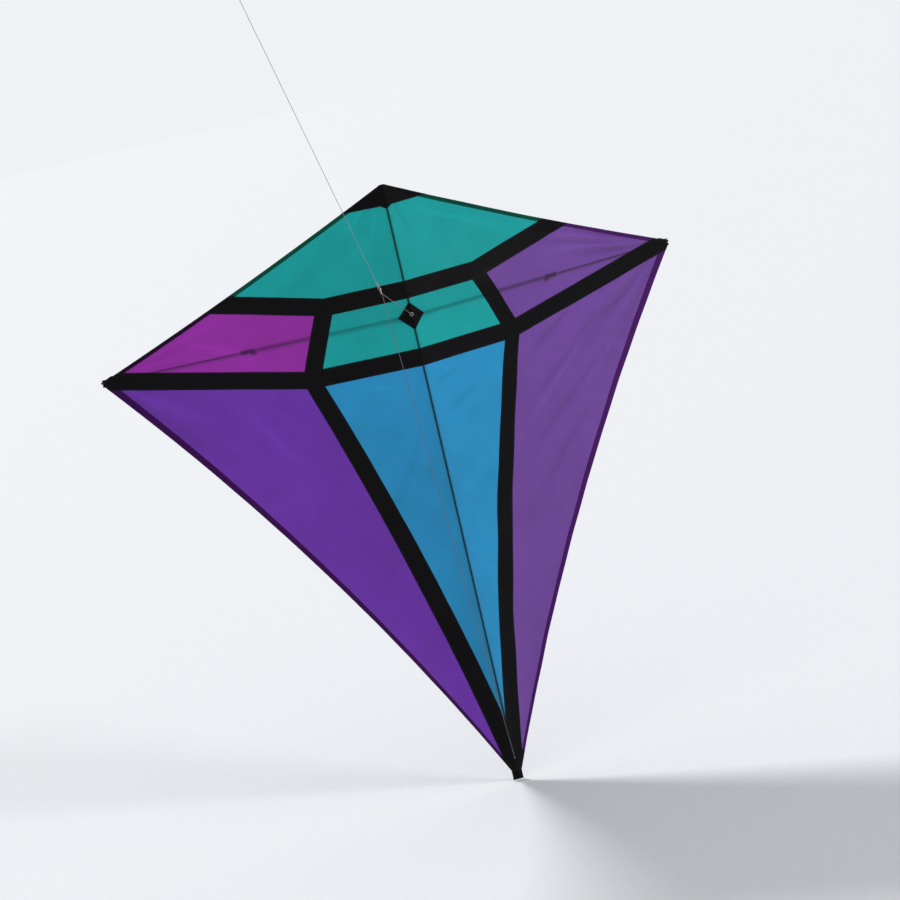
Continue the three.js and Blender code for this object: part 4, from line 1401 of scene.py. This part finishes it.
def add_neck(side_name):
    """soft rubber between the cross and a spreader socket, which bends as the wing does"""
    side = SIDES[side_name]
    start = Vector((0, SPINE_Y, 0))
    end = on_spreader(side, SPREADER_ROOT + SOCKET_START + 0.0012)
    path = [start.lerp(end, share) for share in np.linspace(0.5, 1.0, 9)]
    waists = [0.0040, 0.0039, 0.0036, 0.0034, 0.0033, 0.0033, 0.0035, 0.0038, 0.0040]
    neck = piece(f"neck_{side_name}", *tube(path, waists, 24), RUBBER, None)
    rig.blend(neck, "frame", f"wing_{side_name}", start=start.lerp(end, 0.55), end=start.lerp(end, 0.95))


def add_spreader(side_name):
    side = SIDES[side_name]
    cloth_end = HALF_SPAN - TIP_CUT
    socket = SPREADER_ROOT + SOCKET_START
    rod_end = cloth_end + TIP_OVERHANG - 0.001

    def put(name, shape, material, node):
        piece(f"{name}_{side_name}", *shape, material, f"wing_{side_name}", [f"{node}_{side_name}"], sharp=40)

    def on(out):
        return on_spreader(side, out)

    socket_shape = sleeve(on(socket), on(socket + SOCKET_LENGTH), SOCKET_RADIUS, TUBE_RADIUS + FIT,
                          rings=(0.45, 0.55, 0.65, 0.75), ring_height=-0.0004, lip=0.0005)
    put("rod_socket", socket_shape, RUBBER, "spreader_socket")
    put("inner_tube", rod(on(socket + FIT), on(FERRULE_AT - FIT / 2), TUBE_RADIUS), CARBON, "spreader_tube")
    ferrule = sleeve(on(FERRULE_AT - FERRULE_LENGTH / 2), on(FERRULE_AT + FERRULE_LENGTH / 2),
                     FERRULE_RADIUS, TUBE_RADIUS + FIT, rings=(0.06, 0.94), ring_height=0.0003)
    put("ferrule", ferrule, VINYL, "spreader_ferrule")
    put("outer_rod", rod(on(FERRULE_AT + FIT / 2), on(rod_end - FIT), ROD_RADIUS), CARBON, "spreader_rod")
    cap = end_cap(on(cloth_end), on(cloth_end + TIP_OVERHANG), ROD_RADIUS + 0.001, ROD_RADIUS + FIT, 0.001)
    put("rod_nub", cap, VINYL, "tip_cap")


# ---------------------------------------------------------------- pockets
POCKET_CLOTH = 0.0006


def lofted(sections, wall):
    """a cloth sleeve from its mouth up: rings of (place, outward) points, wall thick and closed at the top"""
    outer = [[place for place, _ in ring] for ring in sections]
    inner = [[place - outward * wall for place, outward in ring] for ring in sections]
    down = (outer[-2][0] - outer[-1][0]).normalized()
    inner[-1] = [place + down * wall for place in inner[-1]]
    return joined(inner[::-1] + outer)


def add_nose_pocket():
    """a round cloth sleeve over the spine's capped top, sewn flat above it"""
    sections = []
    for rise, wide, deep in (
        (0.0, 1.0, 1.0), (0.0018, 1.06, 1.06), (0.0036, 1.0, 1.0), (0.014, 0.97, 0.97),
        (0.028, 0.98, 0.98), (0.038, 1.0, 0.98), (0.0425, 1.0, 0.72), (NOSE_POCKET_LENGTH, 1.0, 0.2),
    ):
        centre = Vector((0, SPINE_Y, CROSS_DROP - NOSE_POCKET_LENGTH + rise))
        outward = [Vector((math.cos(turn) * wide, math.sin(turn) * deep, 0)) for turn in turns(32)]
        sections.append([(centre + out * (POCKET_RADIUS - 0.0003), out) for out in outward])
    sewn = piece("nose_sleeve", *lofted(sections, POCKET_CLOTH), BLACK_PATCH, "frame", ["nose_pocket"])
    size = (NOSE_POCKET_LENGTH, 2 * math.pi * POCKET_RADIUS)
    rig.sheet(sewn, flat=size, held="stretched", rests_on=["spine_rod"])


TAB_SEAM = 0.0022  # its outer rows of stitches lie this far in
TAB_EDGE = 0.0010  # half the thickness of the tab where it is sewn flat
TAB_SWELL = 0.0044  # and how much more it stands out over the spine's cap
TAB_TOP = TAIL_Z - 0.0005
TAB_BOTTOM = TAIL_Z - TAIL_TAB


def on_tab(face, flat, lift=0.0):
    """points of the tab's front (face -1) or back (face 1), lifted off it"""
    across, up = flat[..., 0], flat[..., 1]
    swell = 1 - smoothstep(np.abs(across), 0.0022, 0.0098)
    closing = smoothstep(up, TAB_BOTTOM, TAB_BOTTOM + 0.0034)
    half = TAB_EDGE * (0.45 + 0.55 * closing) + TAB_SWELL * swell * closing
    return np.stack([across, SPINE_Y + face * (half + lift), up], -1)


def add_tail_tab():
    """a folded square of cloth that holds the spine's lower end, swollen where the cap lies in it"""
    share, up = np.meshgrid(np.linspace(-1, 1, 37), np.linspace(TAB_TOP, TAB_BOTTOM, 27))
    pull = 0.0005 * np.sin(math.pi * (up - TAB_BOTTOM) / (TAB_TOP - TAB_BOTTOM))
    grid = np.stack([share * (TAIL_HALF_WIDTH - pull), up], -1)
    skin = slab(on_tab(-1, grid), on_tab(1, grid), False)
    mark(piece("tail_tab", *skin, BLACK_PATCH, "frame", ["tail_pocket"]), grid)

    paths = []
    for inset in (TAB_SEAM, 0.0046):
        for place in (inset - TAIL_HALF_WIDTH, TAIL_HALF_WIDTH - inset):
            paths.append([(place, TAB_TOP), (place, TAB_BOTTOM + inset)])
    outer = TAIL_HALF_WIDTH - TAB_SEAM
    for height in (TAB_TOP - TAB_SEAM, TAB_BOTTOM + 0.0024):
        paths.append([(-outer, height), (outer, height)])
    faces = [lambda flat, face=face: on_tab(face, flat, THREAD_RADIUS * 0.5) for face in (-1, 1)]
    piece("tail_stitching", *merged(*(stitch_row(path, faces) for path in paths)), THREAD, "frame")


TIP_POCKET_HALF_WIDTH = 0.0135
TIP_POCKET_FOOT = 0.0010  # it lies this far behind the cloth where it is sewn down


def add_tip_pocket(side_name):
    """a strip of cloth sewn on behind the wing's corner, humped over the end of the rod"""
    side = SIDES[side_name]
    end = HALF_SPAN - TIP_CUT + 0.004
    start = end - TIP_POCKET_LENGTH
    out, share = np.meshgrid(np.linspace(start, end, 23), np.linspace(-1, 1, 41))
    edge = (HALF_SPAN - out) * CROSS_DROP / HALF_SPAN + 0.0015
    above = np.clip(edge, 0.0075, TIP_POCKET_HALF_WIDTH)  # the pocket narrows with the corner
    below = TIP_POCKET_HALF_WIDTH - 0.0030 * (out - start) / (end - start)
    up = share * np.where(share > 0, above, below)
    hump = SPREADER_LIFT + ROD_RADIUS + 0.0011 - TIP_POCKET_FOOT
    rise = TIP_POCKET_FOOT + hump * (1 - smoothstep(np.abs(up), ROD_RADIUS * 0.7, ROD_RADIUS + 0.0052))
    back = belly(out, up) + rise
    near, far = [to_world(side, np.stack([out, back + ply, up], -1)) for ply in (0, POCKET_CLOTH)]
    sewn = piece(f"rod_pocket_{side_name}", *slab(near, far, side > 0), BLACK_PATCH, f"wing_{side_name}",
                 [f"tip_pocket_{side_name}"])
    mark(sewn, np.stack([out, up], -1))
    size = (2 * (TIP_POCKET_HALF_WIDTH + hump), TIP_POCKET_LENGTH)
    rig.sheet(sewn, flat=size, held="stretched", rests_on=[f"outer_rod_{side_name}"])


# ---------------------------------------------------------------- cords
in_bridle_plane = Vector((TOW_POINT.x, TOW_POINT.y - BRIDLE_Y, 0)).normalized()
bridle_normal = Vector((0, 0, 1)).cross(in_bridle_plane).normalized()
line_direction = in_bridle_plane * math.cos(LINE_RISE) + Vector((0, 0, math.sin(LINE_RISE)))
in_ring = line_direction.cross(bridle_normal).normalized()

RING_AT = KNOT_RADIUS + FIT + RING_RADIUS + RING_WIRE
CLIP_FROM = RING_AT + RING_RADIUS - RING_WIRE - CLIP_WIRE - FIT
BARREL_FROM = CLIP_FROM + CLIP_LENGTH
BARREL_TO = BARREL_FROM + BARREL_LENGTH
EYE_AT = BARREL_TO + FIT + 0.002 + EYE_RADIUS
LINE_KNOT_AT = EYE_AT + EYE_RADIUS + CLIP_WIRE + FIT + KNOT_RADIUS
LINE_FROM = LINE_KNOT_AT + KNOT_RADIUS + FIT


def on_line(distance, beside=0.0, over=0.0):
    return TOW_POINT + line_direction * distance + bridle_normal * beside + in_ring * over


def on_both_sides(half, middle=()):
    """a path along the line from (distance, beside) points, and back over its other side"""
    other = [(distance, -beside) for distance, beside in reversed(half)]
    return [on_line(*place) for place in (*half, *middle, *other)]


def wound(centre, along, cord_radius):
    """the closed path of a small tight knot: the cord wound round itself and tucked through"""
    one = along.orthogonal().normalized()
    two = along.cross(one)
    size = (KNOT_RADIUS - cord_radius) / 3
    path = []
    for turn in turns(64):
        x, y = math.sin(turn) + 2 * math.sin(2 * turn), math.cos(turn) - 2 * math.cos(2 * turn)
        path.append(centre + (one * x + two * y) * size - along * math.sin(3 * turn) * size * 1.9)
    return path


def knot(name, centre, along, cord_radius, material, body, node):
    path = wound(centre, along, cord_radius)
    return piece(name, *tube(path, cord_radius * 1.12, 10, closed=True), material, body, [node], sharp=60)


def straight_cord(name, start, end, radius, points, material, body, node):
    """a cord drawn straight: its piece and its path"""
    path = [start.lerp(end, share) for share in np.linspace(0, 1, points)]
    return piece(name, *tube(path, radius), material, body, [node]), path


def taut(obj, path, radius, knots):
    """says that a piece is a cord, pulled straight between knots"""
    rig.cord(obj, exit=path[0], length=(path[-1] - path[0]).length, diameter=2 * radius, far_end="knot",
            stiffness="limp", lay="taut", path=path, with_pieces=knots)


def add_bridle():
    legs = []
    for name, tie, count in (("upper", UPPER_TIE, 16), ("lower", LOWER_TIE, 30)):
        along = (TOW_POINT - tie).normalized()
        tied = knot(f"tie_{name}", tie, along, BRIDLE_RADIUS, BRIDLE_CORD, "bridle", f"bridle_knot_{name}")
        start, end = tie + along * KNOT_RADIUS * 0.6, TOW_POINT - along * KNOT_RADIUS * 0.6
        leg = straight_cord(f"bridle_{name}", start, end, BRIDLE_RADIUS, count, BRIDLE_CORD, "bridle",
                            f"bridle_leg_{name}")
        legs.append((leg, tied))
    towed = knot("tow_tie", TOW_POINT, line_direction, BRIDLE_RADIUS * 1.1, BRIDLE_CORD, "bridle", "tow_knot")
    for leg, tied in legs:
        taut(*leg, BRIDLE_RADIUS, [tied, towed])
    ring = [on_line(RING_AT + RING_RADIUS * math.cos(turn), 0, RING_RADIUS * math.sin(turn))
            for turn in turns(48)]
    piece("ring", *tube(ring, RING_WIRE, 14, closed=True), STEEL, "bridle", ["tow_ring"])


def add_swivel():
    """a snap swivel: a bent wire clip, a turned barrel and a wire eye"""
    bent_wire = on_both_sides([
        (BARREL_FROM + 0.002, -BARREL_RADIUS / 2),
        (BARREL_FROM - 0.003, -CLIP_HALF_WIDTH),
        (CLIP_FROM + 0.003, -CLIP_HALF_WIDTH),
        (CLIP_FROM + 0.0008, -CLIP_HALF_WIDTH * 0.7),
    ], [(CLIP_FROM, 0)])
    clip = tube(smooth_path(bent_wire, 8), CLIP_WIRE)
    latch = tube(smooth_path([
        on_line(BARREL_FROM - 0.0035, -CLIP_HALF_WIDTH - 0.0004, 0.0006),
        on_line(BARREL_FROM - 0.0030, 0, 0.0013),
        on_line(BARREL_FROM - 0.0035, CLIP_HALF_WIDTH + 0.0004, 0.0006),
    ], 6), CLIP_WIRE * 0.9, 10)
    shares = ((0, 0), (0.5, 0), (0.62, 0.2), (0.66, 0.5), (0.9, 0.75), (1, 1.1))
    half = [(BARREL_RADIUS * out, BARREL_RADIUS * along) for out, along in shares]
    barrel = lathe(both_ends(half, BARREL_LENGTH), on_line(BARREL_FROM), line_direction, 28)
    piece("snap_clip", *merged(clip, latch, barrel), STEEL, "clip", ["snap_swivel"], sharp=45)

    bottom = EYE_AT - EYE_RADIUS
    stem = tube([on_line(BARREL_TO - 0.0004), on_line(bottom)], CLIP_WIRE)
    eye = [on_line(EYE_AT - EYE_RADIUS * math.cos(turn), EYE_RADIUS * math.sin(turn)) for turn in turns(24)]
    loop = tube(eye, CLIP_WIRE, closed=True)
    collar = tube([on_line(BARREL_TO + FIT), on_line(BARREL_TO + FIT + 0.0014)], CLIP_WIRE * 1.7, 16)
    piece("swivel_loop", *merged(stem, loop, collar), STEEL, "line", ["swivel_eye"], sharp=45)


def add_line():
    knotted = LINE_RADIUS * 1.1
    tied = knot("line_tie", on_line(LINE_KNOT_AT), line_direction, knotted, LINE_CORD, "line", "line_knot")
    start, end = on_line(LINE_FROM - KNOT_RADIUS * 0.5), on_line(LINE_END - KNOT_RADIUS * 0.5)
    line = straight_cord("kite_line", start, end, LINE_RADIUS, 36, LINE_CORD, "line", "flying_line")
    shares = ((0, 0), (0.12, 0.10), (0.45, 0.42), (0.80, 0.40), (0.93, 0.12))
    half = [(LINE_END + END_LOOP_LENGTH * along, END_LOOP_WIDTH * beside) for along, beside in shares]
    loop = tube(smooth_path(on_both_sides(half), 6), LINE_RADIUS, 10)
    end_knot = tube(wound(on_line(LINE_END), line_direction, knotted), LINE_RADIUS * 1.15, 10, closed=True)
    looped = piece("end_loop", *merged(loop, end_knot), LINE_CORD, "line", ["line_end_loop"])
    taut(*line, LINE_RADIUS, [tied, looped])


def add_ties():
    """the eyelet in the patch, and the loops that hold the bridle's knots to the cross and the spine"""
    rim, wire = 0.0042, 0.0007
    profile = [(rim + wire * math.cos(turn) * (1.25 if math.cos(turn) > 0 else 1), wire * math.sin(turn))
               for turn in turns(16)]
    eyelet = lathe(profile, (0, FOLD_Y - 0.003, UPPER_TIE.z), (0, 1, 0), 40, closed=True)
    piece("brass_eyelet", *eyelet, STEEL, "frame", ["eyelet"], sharp=60)
    for name, tie, radius, rise in (("upper", UPPER_TIE, HUB_RADIUS + 0.0007, 0.0019),
                                    ("lower", LOWER_TIE, SPINE_RADIUS + 0.0008, 0)):
        front = SPINE_Y - tie.y - KNOT_RADIUS * 0.7
        loop = []
        for turn in turns(48):
            ahead = math.cos(turn)
            narrowing = smoothstep(ahead, 0.1, 1)
            reach = radius + (front - radius) * smoothstep(ahead, 0.2, 1)
            aside = radius * math.sin(turn) * (1 - 0.75 * narrowing)
            height = tie.z + 0.0006 * math.sin(turn) + rise * (1 - narrowing)
            loop.append(Vector((aside, SPINE_Y - reach * ahead, height)))
        piece(f"tie_loop_{name}", *tube(loop, BRIDLE_RADIUS, 10, closed=True), BRIDLE_CORD, "frame")


# ---------------------------------------------------------------- making it
add_bridle()
add_swivel()
add_line()
spine_top = CROSS_DROP - END_INSET
spine_bottom = TAIL_Z - TAIL_TAB + END_INSET
cap_wall = 0.002
on_axis = [Vector((0, SPINE_Y, z)) for z in (spine_bottom + cap_wall + FIT, spine_top - cap_wall - FIT)]
piece("spine_rod", *rod(*on_axis, SPINE_RADIUS), CARBON, "frame", ["spine"], sharp=40)
for name, end, away in (("nose", spine_top, -1), ("tail", spine_bottom, 1)):
    ends = [Vector((0, SPINE_Y, z)) for z in (end + away * CAP_LENGTH, end)]
    shape = end_cap(*ends, CAP_OUTER - 0.0004, SPINE_RADIUS + FIT, cap_wall)
    piece(f"{name}_end", *shape, VINYL, "frame", [f"{name}_cap"], sharp=40)
add_hub()
for side_name in SIDES:
    add_spreader(side_name)
    add_neck(side_name)
for side_name in SIDES:
    add_wing_cloth(side_name)
    add_tip_pocket(side_name)
add_nose_pocket()
add_tail_tab()
add_ties()

# ---------------------------------------------------------------- floor and light
FLOOR_GAP = 0.002
FLOOR_RADIUS = 80


def add_stage():
    """a wide pale floor, level right out to where it meets the pale light beyond it"""
    floor = cad_box[0][2] - FLOOR_GAP
    profile = [(FLOOR_RADIUS * share, 0.0) for share in (0.0, 0.02, 0.05, 0.1, 0.25, 0.5, 1.0)]
    vertices, faces = lathe(profile, (0, 0, floor), (0, 0, 1), 96)
    shader = new_shader("pale_paper")
    grain = shader.noise(shader.here(), 90, 3.0)
    paper = shader.set(
        Base_Color=shader.tint(grain, linear(192, 193, 195), linear(200, 201, 203)),
        Roughness=0.9,
        Specular_IOR_Level=0.1,
        Normal=shader.bump(grain, 0.03, 0.001),
    )
    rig.stage(piece("backdrop", vertices, [face[::-1] for face in faces], paper, None, sharp=80))


def add_sun(name, place, softness, strength):
    """a wide soft light from far off, shining from that direction"""
    data = bpy.data.lights.new(name, "SUN")
    data.angle = math.radians(softness)
    data.energy = strength
    light = bpy.data.objects.new(name, data)
    light.rotation_euler = (-Vector(place)).to_track_quat("-Z", "Y").to_euler()
    scene.collection.objects.link(light)


def add_lights():
    """light from all round, seen a little brighter than it shines, and two suns"""
    scene.world = bpy.data.worlds.new("soft_room")
    shader = Shader(scene.world)
    room = shader.node("Background", {"Color": (0.95, 0.97, 1.0, 1), "Strength": 0.80})
    beyond = shader.node("Background", {"Color": (0.945, 0.965, 1.0, 1), "Strength": 0.918})
    shader.mixed(shader.node("LightPath").outputs["Is Camera Ray"], room, beyond)
    add_sun("key", (0.9, -1.0, 0.55), 10, 1.1)
    add_sun("back", (-0.35, 1.0, 0.75), 12, 3.4)


add_stage()
add_lights()
scene.view_settings.view_transform = "Standard"

visual_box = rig.bounds()
with open("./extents.json", "w") as out:
    json.dump({"cad": [list(c) for c in cad_box], "visual": [list(c) for c in visual_box]}, out)
